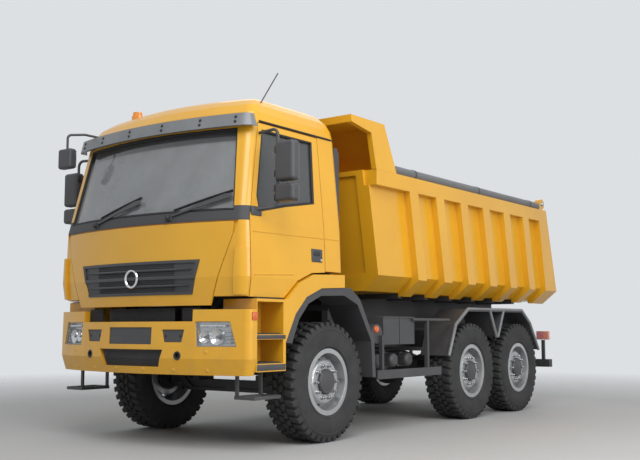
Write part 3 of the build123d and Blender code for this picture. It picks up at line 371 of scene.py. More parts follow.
def settle(obj, place=None, turn=None, scale=None):
    """Move, turn or scale an object, and put that into its mesh."""
    pick(obj)
    if place is not None:
        obj.location = place
    if turn is not None:
        obj.rotation_euler = turn
    if scale is not None:
        obj.scale = scale
    bpy.ops.object.transform_apply(location=True, rotation=True, scale=True)
    return obj


def apply(obj, kind, **settings):
    """Add a modifier and apply it."""
    pick(obj)
    modifier = obj.modifiers.new(kind.lower(), kind)
    for key, value in settings.items():
        setattr(modifier, key, value)
    bpy.ops.object.modifier_apply(modifier=modifier.name)
    return obj


def edit(obj, *steps):
    """Run edit-mode operators, each given as a function, on the whole mesh."""
    pick(obj)
    bpy.ops.object.mode_set(mode="EDIT")
    for step in steps:
        bpy.ops.mesh.select_all(action="SELECT")
        step()
    bpy.ops.object.mode_set(mode="OBJECT")
    return obj


def weld():
    bpy.ops.mesh.remove_doubles(threshold=1e-5)


def face_out():
    bpy.ops.mesh.normals_make_consistent(inside=False)


def rounded(low, high, radius, segments=2):
    """Block between two corners with its edges rounded."""
    low, high = Vector(low), Vector(high)
    bpy.ops.object.select_all(action="DESELECT")
    bpy.ops.mesh.primitive_cube_add(size=1, location=(low + high) / 2, scale=high - low)
    obj = settle(bpy.context.object)
    return apply(obj, "BEVEL", width=radius, segments=segments, limit_method="NONE")


def line(points):
    """Chain of edges drawn by extruding one vertex from point to point."""
    bpy.ops.object.select_all(action="DESELECT")
    bpy.ops.mesh.primitive_plane_add(size=0.01, location=points[0])
    obj = bpy.context.object
    bpy.ops.object.mode_set(mode="EDIT")
    bpy.ops.mesh.merge(type="CENTER")
    for start, end in zip(points, points[1:]):
        step = Vector(end) - Vector(start)
        bpy.ops.mesh.extrude_vertices_move(TRANSFORM_OT_translate={"value": step})
    bpy.ops.object.mode_set(mode="OBJECT")
    return settle(obj)


def tube(points, radius, closed=False, roundness=2):
    """Round bar or bead along a line of points."""
    points = [Vector(point) for point in points]
    obj = edit(line(points + points[:1] if closed else points), weld)
    pick(obj)
    bpy.ops.object.convert(target="CURVE")
    curve = bpy.context.object.data
    curve.bevel_depth = radius
    curve.bevel_resolution = roundness
    curve.use_fill_caps = True
    bpy.ops.object.convert(target="MESH")
    return edit(bpy.context.object, weld, face_out)


def lathe(profile, steps=48):
    """Turned part about the Y axis, from points of (radius, y)."""
    def spin():
        bpy.ops.mesh.spin(steps=steps, angle=2 * math.pi, center=(0, 0, 0), axis=(0, 1, 0))

    return edit(line([(radius, y, 0) for radius, y in profile]), spin, weld, face_out)


def ring_of(obj, count):
    """Copies of an object turned about the Y axis."""
    bpy.ops.object.empty_add(rotation=(0, 2 * math.pi / count, 0))
    turn = bpy.context.object
    apply(obj, "ARRAY", count=count, use_relative_offset=False, use_object_offset=True, offset_object=turn)
    bpy.data.objects.remove(turn)
    return obj


def copy_of(obj):
    """Copy with a mesh of its own."""
    pick(obj)
    bpy.ops.object.duplicate(linked=False)
    return bpy.context.object


def twin(obj):
    """Mirrored copy on the other side of the truck."""
    return edit(settle(copy_of(obj), scale=(1, -1, 1)), bpy.ops.mesh.flip_normals)


def joined(objs):
    """Several objects made one."""
    pick(objs[0])
    for obj in objs[1:]:
        obj.select_set(True)
    bpy.ops.object.join()
    return bpy.context.object


def dress(obj, name, made, body, angle=35):
    """Name a finished piece, smooth it, give it its finish and let it ride on a body."""
    obj.name = name
    obj.data.name = name
    obj.data.materials.clear()
    obj.data.materials.append(made)
    pick(obj)
    bpy.ops.object.shade_smooth_by_angle(angle=math.radians(angle))
    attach(obj, body)
    return obj


def dress_both(piece, name, made, body, angle=35):
    """Dress a piece of the left side and its twin on the right."""
    pair = piece, twin(piece)
    for (side, _), obj in zip(SIDES, pair):
        dress(obj, f"{name}_{side}", made, body.format(side), angle)
    return pair


def grid_wires(wide, high, cells, place):
    """Upright grid across the truck, ready to become a wire mesh."""
    bpy.ops.object.select_all(action="DESELECT")
    bpy.ops.mesh.primitive_grid_add(x_subdivisions=cells[0], y_subdivisions=cells[1], size=1)
    return settle(bpy.context.object, place, (math.pi / 2, 0, math.pi / 2), (wide, high, 1))


def cast(names, start, direction):
    """First point and normal that a straight line meets on the named nodes."""
    hits = []
    for name in names:
        found, point, normal, _ = nodes[name].ray_cast(start, direction)
        if found:
            hits.append(((point - Vector(start)).length, point, normal))
    if not hits:
        raise ValueError(f"nothing of {names} lies along {direction} from {start}")
    return min(hits, key=lambda hit: hit[0])[1:]


def on_front(names, y, z):
    """Point and normal on the front of the truck."""
    return cast(names, (FRONT_AXLE + 3, y, z), (-1, 0, 0))


def on_left(names, ahead, z):
    """Point and normal on the left of the truck."""
    return cast(names, at(ahead, 3, z), (0, -1, 0))


def along(corners, step, closed=True):
    """Points spaced along straight runs between corners."""
    corners = [Vector(corner) for corner in corners]
    ends = corners[1:] + corners[:1] if closed else corners[1:]
    points = []
    for start, end in zip(corners, ends):
        count = max(1, round((end - start).length / step))
        points += [start.lerp(end, index / count) for index in range(count)]
    return points if closed else points + corners[-1:]


def plate(points, thickness):
    """Flat or bowed plate from the points round its edge."""
    obj = edit(line(points + points[:1]), weld, bpy.ops.mesh.edge_face_add)
    return apply(obj, "SOLIDIFY", thickness=thickness, offset=0)


def set_on(obj, point, normal):
    """Stand a piece made along +Y on a surface, its Y axis along the normal."""
    turn = normal.to_track_quat("Y", "Z").to_euler()
    return settle(obj, point, turn)


def hex_bolt(radius, height):
    """Bolt head on its washer, standing along +Y."""
    washer = lathe([(0, 0), (radius * 1.5, 0), (radius * 1.5, height * 0.25), (0, height * 0.25)], 16)
    bpy.ops.object.select_all(action="DESELECT")
    bpy.ops.mesh.primitive_cylinder_add(vertices=6, radius=radius, depth=height, rotation=(math.pi / 2, 0, 0),
                                        location=(0, height / 2, 0))
    head = apply(settle(bpy.context.object), "BEVEL", width=radius * 0.12, segments=1, limit_method="ANGLE")
    return joined([washer, head])


def bolts(seats, radius, height):
    """Bolt heads on a list of (point, normal) seats, as one mesh."""
    first = hex_bolt(radius, height)
    made = [set_on(copy_of(first), point, normal) for point, normal in seats]
    bpy.data.objects.remove(first)
    return joined(made)


print("modelling helpers ready")

# %% [markdown]
# ## Tyres
# A site tyre has a smooth casing and deep shoulder lugs that stand out at its edge. The casing is turned from half
# a section. One lug is shaped from a cube and copied round the axle, the two sides half a pitch apart.

# %% Tyres with tread
TYRE_R = (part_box("tyre_front_left")[1].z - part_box("tyre_front_left")[0].z) / 2
LUGS = 40
TREAD_DEPTH = 0.024
CASING_R = TYRE_R - TREAD_DEPTH
# columns: radius, half width
WALL = ((0.288, 0.146), (0.316, 0.156), (0.322, 0.168), (0.334, 0.178), (0.340, 0.175), (0.400, 0.186),
        (0.450, 0.186), (0.480, 0.181), (0.486, 0.184), (0.500, 0.180), (0.520, 0.166), (CASING_R, 0.140))


def lug(low, high, lean, taper):
    """Tread block between (x, y, radius) corners, leaning sideways and narrower at the top."""
    block = rounded(low, high, 0.006, 1)
    middle_y = (low[1] + high[1]) / 2
    for vertex in block.data.vertices:
        rise = (vertex.co.z - low[2]) / (high[2] - low[2])
        vertex.co.x += lean * (vertex.co.y - middle_y)
        vertex.co.x *= 1 - taper * rise
    return block


def tyre():
    profile = list(WALL) + [(radius, -half) for radius, half in reversed(WALL)] + [WALL[0]]
    casing = lathe(profile, 96)
    made = [casing]
    shoulder = lug((-0.030, 0.066, 0.500), (0.030, 0.176, TYRE_R - 0.001), 0.22, 0.16)
    for vertex in shoulder.data.vertices:
        if vertex.co.y > 0.12:
            vertex.co.y -= 0.30 * max(0, vertex.co.z - 0.520)
    centre = lug((-0.034, 0.006, CASING_R - 0.01), (0.034, 0.056, TYRE_R - 0.001), -0.35, 0.12)
    for block, phase in ((shoulder, 0), (centre, 0.5)):
        for mirror in (False, True):
            piece = twin(block) if mirror else copy_of(block)
            offset = phase + (0.5 if mirror else 0)
            settle(piece, turn=(0, offset * 2 * math.pi / LUGS, 0))
            made.append(ring_of(piece, LUGS))
        bpy.data.objects.remove(block)
    return joined(made)


first_tyre = tyre()
for axle in AXLES:
    for side, _ in SIDES:
        name = f"tyre_{axle}_{side}"
        piece = settle(copy_of(first_tyre), middle(name))
        dress(piece, f"tread_{axle}_{side}", TYRE_RUBBER, f"wheel_{axle}_{side}")
        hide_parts(name)
bpy.data.objects.remove(first_tyre)
print("tyres with", LUGS, "lugs a side")

# %% [markdown]
# ## Wheel nuts and hub caps
# The nuts stand on the hub flange round a dark cap. One nut is a hexagon on a turned washer with its stud's end;
# ten copies stand in a ring, and a ribbed cap closes the hub.

# %% Wheel nuts and caps
NUTS = 10
NUT_CIRCLE = 0.155
FLANGE_OUT = 0.128


def wheel_nuts():
    """Nuts, studs and tyre valve about the Y axis; y = 0 is the flange that they stand on."""
    nut = hex_bolt(0.017, 0.024)
    stud = lathe([(0, 0), (0.010, 0), (0.010, 0.038), (0.007, 0.041), (0, 0.041)], 12)
    nuts = ring_of(settle(joined([nut, stud]), (NUT_CIRCLE, 0, 0)), NUTS)
    valve = tube([(0.252, -0.02, 0.0), (0.252, 0.01, 0.0), (0.258, 0.032, 0.004)], 0.006)
    return joined([nuts, valve])


def hub_cap():
    """Dark moulded cap with a stepped rim."""
    profile = [(0, 0.036), (0.080, 0.036), (0.088, 0.032), (0.094, 0.032), (0.102, 0.034), (0.112, 0.028),
               (0.120, 0.016), (0.121, 0.001), (0, 0.001)]
    return lathe(profile, 40)


trims = (("wheel_nuts", wheel_nuts(), ROD_STEEL, "steel"), ("hub_cap", hub_cap(), DARK_PLASTIC, "plastic"))
for kind, first, made, slot in trims:
    for axle in AXLES:
        for side, sign in SIDES:
            piece = copy_of(first) if sign > 0 else twin(first)
            settle(piece, middle(f"tyre_{axle}_{side}") + Vector((0, sign * FLANGE_OUT, 0)))
            dress(piece, f"{kind}_{axle}_{side}", made, f"wheel_{axle}_{side}")
    bpy.data.objects.remove(first)
print("wheel trims", 6 * len(trims))

# %% [markdown]
# ## Headlamps and tail lamps
# The clear lens of each headlamp shows what is behind it. A silver tray with a back and four walls is laid inside;
# two plated bowls, their bulbs, a light strip above and the ribs of the turn lamp at the outer end stand in it.

# %% Headlamps
# columns: y, height, radius
BOWLS = ((0.832, 0.985, 0.048), (0.948, 0.985, 0.060))
LAMP_YAW = math.radians(14)
# columns: y, height
TRAY = ((0.752, 1.112), (1.066, 1.112), (1.122, 0.911), (0.767, 0.911))
TRAY_DEPTH = 0.046


def bowl(radius):
    """Plated bowl that opens along +Y, with its rim."""
    profile = [(0, -0.030), (radius * 0.45, -0.026), (radius * 0.8, -0.012), (radius, 0.004),
               (radius * 1.08, 0.006), (radius * 1.12, 0.002), (radius * 1.12, -0.034), (0, -0.034)]
    return lathe(profile, 28)


def bulb(radius):
    """Bulb shield in the middle of a bowl."""
    profile = [(0, 0.004), (radius * 0.16, 0.002), (radius * 0.22, -0.006), (radius * 0.2, -0.028), (0, -0.028)]
    return lathe(profile, 16)


def lamp_face(y, z, depth):
    """Point behind the left lens and the way it faces."""
    point, _ = on_front(("lamps",), y, z)
    facing = Vector((math.cos(LAMP_YAW), math.sin(LAMP_YAW), 0))
    return point - facing * depth, facing


def lamp_points(corners, depth):
    return [lamp_face(y, z, depth)[0] for y, z in corners]


bowls = [set_on(bowl(radius), *lamp_face(y, z, 0.016)) for y, z, radius in BOWLS]
bulbs = [set_on(bulb(radius), *lamp_face(y, z, 0.016)) for y, z, radius in BOWLS]
strip = tube(lamp_points([(y / 100, 1.083) for y in range(79, 104, 3)], 0.016), 0.012)
ribs = [tube(lamp_points([(y, z) for y in (1.030, 1.055, 1.080)], 0.018), 0.009)
        for z in (0.940, 0.970, 1.000, 1.030)]
tray = [plate(lamp_points(TRAY, TRAY_DEPTH), 0.004)]
for wall in zip(TRAY, TRAY[1:] + TRAY[:1]):
    tray.append(plate(lamp_points(wall, 0.008) + lamp_points(wall[::-1], TRAY_DEPTH), 0.003))
dress_both(joined(bowls + [strip]), "headlamp_bowls", CHROME, "chassis")
dress_both(joined(bulbs), "headlamp_bulbs", DARK_PLASTIC, "chassis")
dress_both(joined(tray + ribs), "headlamp_tray", LAMP_SILVER, "chassis")
print("headlamps with", len(BOWLS), "bowls a side")

# %% Tail lamps
# columns: name, low y, high y, finish
TAIL_LENSES = (("stop", 0.992, 1.086, RED_LENS), ("turn", 1.090, 1.168, AMBER_LENS))
for kind, low, high, made in TAIL_LENSES:
    block = rounded(at(-5.255, low, 0.907), at(-5.200, high, 1.023), 0.008)
    dress_both(block, f"tail_{kind}", made, "chassis")
print("tail lenses", 2 * len(TAIL_LENSES))

# %% [markdown]
# ## Grille and meshes
# The grille's two openings hold a slat each and a fine mesh behind it. A flat grid is laid before the opening,
# projected on the curved grille, and its edges are turned into wires.

# %% Grille
MESH_WIRE = 0.0035


def mesh_panel(node, half, low, top, cell, lift):
    """Wire mesh laid on the front of a node, over a box of heights."""
    cells = round(2 * half / cell), round((top - low) / cell)
    grid = grid_wires(2 * half, top - low, cells, at(2, 0, (low + top) / 2))
    apply(grid, "SHRINKWRAP", target=nodes[node], wrap_method="PROJECT", use_project_x=True,
          use_negative_direction=True, use_positive_direction=True, offset=lift)
    return apply(grid, "WIREFRAME", thickness=MESH_WIRE, use_replace=True)


panels = [mesh_panel("grille", 0.50, low, top, 0.018, 0.003) for low, top in ((1.384, 1.486), (1.524, 1.626))]
dress(joined(panels), "grille_mesh", BLACK_PLASTIC, "hood")
lower_mesh = mesh_panel("bumper_inserts", 0.36, 0.73, 0.865, 0.016, 0.003)
dress(lower_mesh, "bumper_mesh", BLACK_PLASTIC, "chassis")

slats = []
for z, half in ((1.435, 0.67), (1.575, 0.69)):
    points = [on_front(("grille",), half * step / 4, z)[0] + Vector((0.012, 0, 0)) for step in range(-4, 5)]
    slat = tube(points, 0.010)
    for vertex in slat.data.vertices:
        ends = min(1, (half - abs(vertex.co.y)) / 0.16)
        vertex.co.z = z + (vertex.co.z - z) * (0.35 + 0.75 * max(0, ends))
    slats.append(slat)
ring = lathe([(0.066, 0), (0.084, 0), (0.087, 0.006), (0.082, 0.014), (0.070, 0.014), (0.063, 0.006), (0.066, 0)], 48)
place = on_front(("grille",), 0, 1.505)[0]
dress(joined(slats), "grille_slats", DARK_PLASTIC, "hood")
dress(settle(ring, place, (0, 0, -math.pi / 2)), "grille_ring", CHROME, "hood")
print("grille dressed")

# %% [markdown]
# ## Window seals, drip rails and door furniture
# A rubber seal runs round each pane, in the step between the skin and the glass. Its corners are found by casting
# lines on the solids, so it follows the bow of the windscreen.

# %% Seals
# columns: y, height
SCREEN = ((1.078, 2.082), (0.980, 2.828), (-0.980, 2.828), (-1.078, 2.082))


def screen_seal():
    corners = [(0, y, z) for y, z in SCREEN]
    points = [on_front(("windscreen",), p.y, p.z)[0] + Vector((0.008, 0, 0)) for p in along(corners, 0.09)]
    return tube(points, 0.016, closed=True)


dress(screen_seal(), "screen_seal", SEAL_RUBBER, "cab")

# columns: distance ahead, height
WINDOW = ((1.002, 2.078), (1.026, 2.210), (0.894, 2.822), (0.173, 2.822), (0.208, 2.232), (0.642, 2.158))


def side_line(names, corners, out, step=0.09, closed=False):
    """Points along the left side, lifted off the surface."""
    runs = along([(ahead, 0, z) for ahead, z in corners], step, closed)
    return [on_left(names, p.x, p.z)[0] + Vector((0, out, 0)) for p in runs]


seal = tube(side_line(("door_glass_left",), WINDOW, 0.008, closed=True), 0.015, closed=True)
drip = tube(side_line(("cab_roof",), ((0.93, 2.901), (-0.21, 2.901)), 0.003), 0.010)
dress_both(seal, "window_seal", SEAL_RUBBER, "door_{}")
dress_both(drip, "drip_rail", SEAL_RUBBER, "cab")
print("seals round three panes")

# %% Doors: handle, mirror foot, creases


def on_door(ahead, z, width, height, thick, rounding):
    """Flat moulding on the left door, centred on a point."""
    y = on_left(("door_left",), ahead, z)[0].y
    half = Vector((width / 2, 0, height / 2))
    spot = at(ahead, y, z)
    return rounded(spot - half - Vector((0, thick * 0.6, 0)), spot + half + Vector((0, thick * 0.4, 0)), rounding)


surround = on_door(0.205, 1.735, 0.165, 0.125, 0.020, 0.008)
paddle = on_door(0.215, 1.755, 0.110, 0.045, 0.040, 0.010)
lock_seat = on_left(("door_left",), 0.150, 1.695)
lock = set_on(lathe([(0, 0.016), (0.010, 0.016), (0.012, 0.013), (0.012, 0), (0, 0)], 20), *lock_seat)
foot = on_door(1.055, 2.072, 0.140, 0.085, 0.036, 0.014)
creases = [tube(side_line(("door_left",), run, -0.004), 0.009) for run in
           (((1.10, 1.895), (0.10, 1.905)), ((1.10, 1.520), (0.56, 1.545)))]
back_crease = tube(side_line(("cab_back",), ((0.06, 1.906), (-0.17, 1.908)), -0.004), 0.009)
dress_both(surround, "handle_panel", DARK_PLASTIC, "door_{}")
dress_both(paddle, "door_handle", BLACK_PLASTIC, "door_{}")
dress_both(lock, "door_lock", CHROME, "door_{}")
dress_both(foot, "mirror_foot", DARK_PLASTIC, "door_{}")
dress_both(joined(creases), "door_creases", YELLOW_PAINT, "door_{}")
dress_both(back_crease, "corner_crease", YELLOW_PAINT, "cab")
print("door furniture made")

# %% [markdown]
# ## Mirrors, visor and wipers
# Mirror glass lies in a frame on the rear of each housing. Paired bolts hold the visor. Each wiper gets its pivot
# cap and a thin rubber blade.

# %% Mirrors, visor bolts, wipers
# columns: low corner, high corner, both from the front axle
GLASSES = (((0.874, 1.358, 2.350), (0.884, 1.528, 2.660)), ((0.874, 1.358, 2.166), (0.884, 1.528, 2.290)))
glass = joined([rounded(at(*low), at(*high), 0.004) for low, high in GLASSES])
dress_both(glass, "mirror_glass", MIRROR, "door_{}")
clamps = [rounded(at(0.935, 1.325, z - 0.03), at(0.975, 1.365, z + 0.03), 0.006) for z in (2.40, 2.61, 2.19, 2.27)]
dress_both(joined(clamps), "mirror_clamps", BLACK_PLASTIC, "door_{}")

VISOR_BOLT_Y = (-1.02, -0.66, -0.22, 0.22, 0.66, 1.02)
seats = [on_front(("sun_visor",), y, z) for y in VISOR_BOLT_Y for z in (2.872, 2.915)]
dress(bolts(seats, 0.010, 0.008), "visor_bolts", BLACK_PLASTIC, "cab")
WIPER_FEET = (-0.54, 0.45)
BLADE_RUNS = (0.02, 0.14, 0.26, 0.38, 0.50, 0.58)
BLADE_SLOPE = 0.27
caps, blades = [], []
for y in WIPER_FEET:
    cap = lathe([(0, 0.034), (0.016, 0.034), (0.024, 0.026), (0.026, 0), (0, 0)], 20)
    caps.append(set_on(cap, *on_front(("cab_fittings",), y, 2.033)))
    points = [on_front(("windscreen",), y + run, 2.100 + run * BLADE_SLOPE)[0] + Vector((0.010, 0, 0))
              for run in BLADE_RUNS]
    blades.append(tube(points, 0.009))
dress(joined(caps), "wiper_caps", BLACK_PLASTIC, "cab")
dress(joined(blades), "wiper_blades", SEAL_RUBBER, "cab")
kerb = rounded(at(1.268, -1.150, 2.655), at(1.278, -0.990, 2.825), 0.004)
dress(kerb, "kerb_mirror_glass", MIRROR, "cab")
print("visor bolts", len(seats))

# %% [markdown]
# ## Bumper, steps and side gear
# Small things that tell the size of the truck: screws, plugs in the bumper's lip, ribbed treads, straps round the
# tanks, lids on the battery box and the pale tube that edges the rear mudguards.

# %% Bumper and steps
seats = [on_front(("bumper_inserts",), sign * y, 0.995) for sign in (1, -1) for y in (0.440, 0.595)]
dress(bolts(seats, 0.009, 0.006), "cover_screws", BLACK_PLASTIC, "chassis")
TOW_Y = 0.577
plug = lathe([(0, 0.004), (0.012, 0.004), (0.017, 0.001), (0.017, -0.004), (0, -0.004)], 20)
plug_places = [(y, 0.70) for y in (-0.86, -0.52, -0.18, 0.18, 0.52, 0.86)] + [(0.86, 0.86), (-0.86, 0.86)]
plugs = [set_on(copy_of(plug), *on_front(("bumper",), y, z)) for y, z in plug_places]
bpy.data.objects.remove(plug)
dress(joined(plugs), "bumper_plugs", YELLOW_PAINT, "chassis")
tow = lathe([(0, -0.024), (0.008, -0.024), (0.010, -0.030), (0.024, -0.030), (0.024, 0.004), (0.036, 0.006),
             (0.039, 0.002), (0.027, -0.004), (0.027, -0.034), (0, -0.034)], 32)
inner, outer = (on_front(("bumper",), y, 0.825) for y in (TOW_Y - 0.06, TOW_Y + 0.06))
tow_seat = (inner[0] + outer[0]) / 2, (inner[1] + outer[1]).normalized()
dress_both(set_on(tow, *tow_seat), "tow_socket", BLACK_PLASTIC, "chassis")


def dome(radius, height):
    """Round lens that stands along +Y."""
    return lathe([(0, height), (radius * 0.5, height * 0.92), (radius * 0.85, height * 0.6), (radius, 0.002),
                  (radius, -0.004), (0, -0.004)], 28)


marker_y = on_left(("bumper",), 1.128, 1.165)[0].y
marker = rounded(at(1.094, marker_y - 0.004, 1.130), at(1.160, marker_y + 0.010, 1.200), 0.007)
rear_marker = set_on(dome(0.040, 0.024), *on_left(("battery_and_air_tanks",), -0.886, 1.050))
dress_both(marker, "side_marker", AMBER_LENS, "chassis")
dress(rear_marker, "canister_lamp", AMBER_LENS, "chassis")


def tread(low, high, ribs):
    """Ribbed rubber mat: a plate with bars across it."""
    mat = rounded(low, (high.x, high.y, low.z + 0.006), 0.002)
    pitch = (high.y - low.y) / (ribs + 1)
    bar = rounded((low.x + 0.01, low.y + pitch * 0.7, low.z + 0.004), (high.x - 0.01, low.y + pitch * 1.3, high.z),
                  0.002, 1)
    apply(bar, "ARRAY", count=ribs, use_relative_offset=False, use_constant_offset=True,
          constant_offset_displace=(0, pitch, 0))
    return joined([mat, bar])


treads = [tread(at(0.745, 0.995, z), at(1.075, 1.240, z + 0.012), 8) for z in (0.760, 1.010)]
treads.append(tread(at(0.712, 1.130, 1.315), at(1.085, 1.240, 1.325), 4))
edges = [rounded(at(0.706, 1.236, low), at(1.088, 1.2495, high), 0.004)
         for low, high in ((0.700, 0.752), (0.970, 1.004))]
dress_both(joined(treads), "step_treads", BLACK_PLASTIC, "chassis")
dress_both(joined(edges), "step_edges", DARK_PLASTIC, "chassis")
print("bumper plugs", len(plugs), "and step treads")

# %% Tanks, battery box and mudguards
# columns: y, height
STRAP = ((-0.618, 1.123), (-1.078, 1.123), (-1.135, 1.100), (-1.153, 1.048), (-1.153, 0.632), (-1.135, 0.578),
         (-1.078, 0.557), (-0.618, 0.557))
STRAP_FLATNESS = 4
straps = []
for ahead in (-1.72, -1.40, -1.08):
    strap = tube([at(ahead, y, z) for y, z in STRAP], 0.009)
    back = -(FRONT_AXLE + ahead) * (STRAP_FLATNESS - 1)
    straps.append(settle(strap, (back, 0, 0), scale=(STRAP_FLATNESS, 1, 1)))
dress(joined(straps), "tank_straps", ROD_STEEL, "chassis")
cap = lathe([(0, 0.055), (0.048, 0.055), (0.054, 0.048), (0.054, 0.010), (0.046, 0.008), (0.046, -0.01),
             (0, -0.01)], 32)
dress(settle(cap, at(-1.24, -0.95, 1.120), (math.pi / 2, 0, 0)), "tank_cap", BLACK_PLASTIC, "chassis")

lids = [rounded(at(low, 1.0, 1.166), at(high, 1.156, 1.186), 0.008)
        for low, high in ((-1.636, -1.345), (-1.322, -1.026))]
dress(joined(lids), "battery_lids", DARK_PLASTIC, "chassis")
AIR_TANKS = (-1.006, -1.325, -1.625)
bands = []
for x in AIR_TANKS:
    for y in (0.75, 0.97):
        band = lathe([(0.074, -0.012), (0.078, -0.012), (0.078, 0.012), (0.074, 0.012), (0.074, -0.012)], 32)
        bands.append(settle(band, at(x, y, 0.727)))
dress(joined(bands), "air_tank_bands", ROD_STEEL, "chassis")
# columns: distance ahead, height
ARCH = ((-2.288, 0.751), (-2.458, 1.108), (-2.759, 1.291), (-4.248, 1.298), (-4.500, 1.133), (-4.755, 0.780))
VALLEY = ((-3.332, 1.285), (-3.500, 0.962), (-3.540, 0.962), (-3.708, 1.285))
beads = [tube([at(x, 1.214, z) for x, z in run], 0.019, roundness=3) for run in (ARCH, VALLEY)]
dress_both(joined(beads), "arch_edges", VISOR_PLASTIC, "chassis")
print("tanks, battery box and mudguards dressed")

# %% [markdown]
# ## Air intake behind the bumper
# Below the front flap one looks through a slot on the radiator. A dark mesh closes it, in three widths, because
# the arms that carry the tilting cab pass between them. A cheek at each end hides the bumper's inside.

# %% Intake mesh
INTAKE_WIDTHS = ((-0.70, -0.53), (-0.43, 0.43), (0.53, 0.70))
INTAKE_LOW, INTAKE_TOP, INTAKE_CELL = 1.06, 1.24, 0.02
intake = []
for low, high in INTAKE_WIDTHS:
    cells = round((high - low) / INTAKE_CELL), round((INTAKE_TOP - INTAKE_LOW) / INTAKE_CELL)
    wires = grid_wires(high - low, INTAKE_TOP - INTAKE_LOW, cells, at(1.272, (low + high) / 2, 1.150))
    intake.append(apply(wires, "WIREFRAME", thickness=0.004, use_replace=True))
    intake.append(rounded(at(1.255, low, INTAKE_LOW), at(1.264, high, INTAKE_TOP), 0.003))
for y in (-0.712, 0.706):
    intake.append(rounded(at(1.120, y, INTAKE_LOW), at(1.262, y + 0.006, INTAKE_TOP), 0.002))
dress(joined(intake), "intake_mesh", BLACK_PLASTIC, "chassis")
print("intake in three widths")

# %% [markdown]
# ## Engine top and instruments
# When the cab is tilted, the top of the engine shows. Such an engine has a rocker cover over each cylinder, an air
# pipe on one side and an exhaust manifold on the other, each with a branch to every cylinder. Inside the cab, a
# hooded panel with two dials stands behind the steering wheel. Blocks with rounded edges, tubes and turned dials
# are enough.

# %% Engine top
CYLINDERS = [0.40 - 0.165 * index for index in range(6)]
ENGINE_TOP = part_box("engine")[1].z
covers = [rounded(at(x - 0.070, -0.13, ENGINE_TOP - 0.004), at(x + 0.070, 0.13, ENGINE_TOP + 0.048), 0.014)
          for x in CYLINDERS]
dress(joined(covers), "rocker_covers", TANK_METAL, "chassis")
cover_bolts = [(at(x, y, ENGINE_TOP + 0.047), Vector((0, 0, 1))) for x in CYLINDERS for y in (-0.08, 0.08)]
dress(bolts(cover_bolts, 0.010, 0.010), "rocker_bolts", ROD_STEEL, "chassis")


def manifold(y, z, radius):
    """Pipe along the engine with a branch to each cylinder."""
    main = tube([at(0.46, y, z), at(-0.50, y, z)], radius, roundness=4)
    inside = math.copysign(0.29, y)
    return joined([main] + [tube([at(x, y, z), at(x, inside, z)], radius * 0.7, roundness=3) for x in CYLINDERS])


dress(manifold(0.352, 1.400, 0.036), "air_pipe", TANK_METAL, "chassis")
dress(manifold(-0.352, 1.330, 0.034), "exhaust_manifold", CAST_IRON, "chassis")
print("engine with", len(CYLINDERS), "rocker covers")

# %% Instruments
hooded = rounded(at(0.885, 0.335, 2.000), at(1.060, 0.705, 2.098), 0.022, 3)
dress(hooded, "instrument_hood", BLACK_PLASTIC, "cab")
dials = []
for y in (0.435, 0.605):
    dial = lathe([(0, 0.002), (0.036, 0.002), (0.038, 0.006), (0.042, 0.006), (0.043, 0), (0, -0.002)], 32)
    dials.append(settle(dial, at(0.884, y, 2.052), (0, 0, math.pi / 2)))
dress(joined(dials), "instrument_dials", ROD_STEEL, "cab")
print("dials", len(dials))

# %% [markdown]
# ## Bed: weld beads and gate hardware
# The ribs are welded to the side sheets, so a thin bead runs along both edges of each rib. Bolts close the gate's
# frame, and the pins of the gate and of the tipping hinge show their heads.

# %% Bed hardware
RIB_LEAN = 0.18
RIB_STARTS = [-1.413 - 0.574 * index for index in range(6)]
RIB_WIDTH = 0.180
PANEL_Y = 1.165


def bed_line(x, y, low, high):
    """Two points on a line that leans with the headboard."""
    return [at(x + RIB_LEAN * (z - 2.5), y, z) for z in (low, high)]


welds = []
for x in RIB_STARTS:
    for edge in (x + 0.002, x - RIB_WIDTH - 0.002):
        welds.append(tube(bed_line(edge, PANEL_Y + 0.002, 1.62, 2.525), 0.006))
for start, end in zip([-0.90] + [x - RIB_WIDTH for x in RIB_STARTS], RIB_STARTS + [-4.80]):
    welds.append(tube([at(start - 0.01, PANEL_Y + 0.002, 2.528), at(end + 0.01, PANEL_Y + 0.002, 2.528)], 0.006))
pins = [(at(-5.055, 1.190, 2.790), Vector((0, 1, 0))), (at(-4.85, 0.440, 1.215), Vector((0, 1, 0)))]
dress_both(joined(welds), "bed_welds", YELLOW_PAINT, "bed")
dress_both(bolts(pins, 0.026, 0.018), "bed_pins", ROD_STEEL, "bed")
gate_seats = [cast(("tailgate",), at(-7, y, z), (1, 0, 0)) for y in (-1.04, -0.51, 0, 0.51, 1.04)
              for z in (1.680, 2.640)]
dress(bolts(gate_seats, 0.013, 0.010), "gate_bolts", ROD_STEEL, "tailgate")
print("welds", len(welds), "gate bolts", len(gate_seats))

# %% [markdown]
# ## The rolled cover
# The load cover is a coated cloth that lies rolled along the left rail. It is drawn as a spiral and pulled out to
# its length, so both ends show the turns. Three thin ties hold it.

# %% Rolled cover
COVER_THICK = 0.0016
low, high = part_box("sheet_roll")
ROLL = (low + high) / 2
ROLL_R = (high.z - low.z) / 2
TURNS, STEPS, PULLS = 12, 22, 24
spiral = []
for index in range(TURNS * STEPS + 1):
    share = index / (TURNS * STEPS)
    radius = 0.012 + (ROLL_R - 0.0135) * share
    angle = 2 * math.pi * index / STEPS
    spiral.append(Vector((low.x + 0.004, ROLL.y + radius * math.cos(angle), ROLL.z + radius * math.sin(angle))))
roll_length = high.x - low.x - 0.008


def pull():
    """Pull the spiral out in short runs, so that it can sag a little between the ties."""
    for _ in range(PULLS):
        bpy.ops.mesh.extrude_edges_move(TRANSFORM_OT_translate={"value": (roll_length / PULLS, 0, 0)})


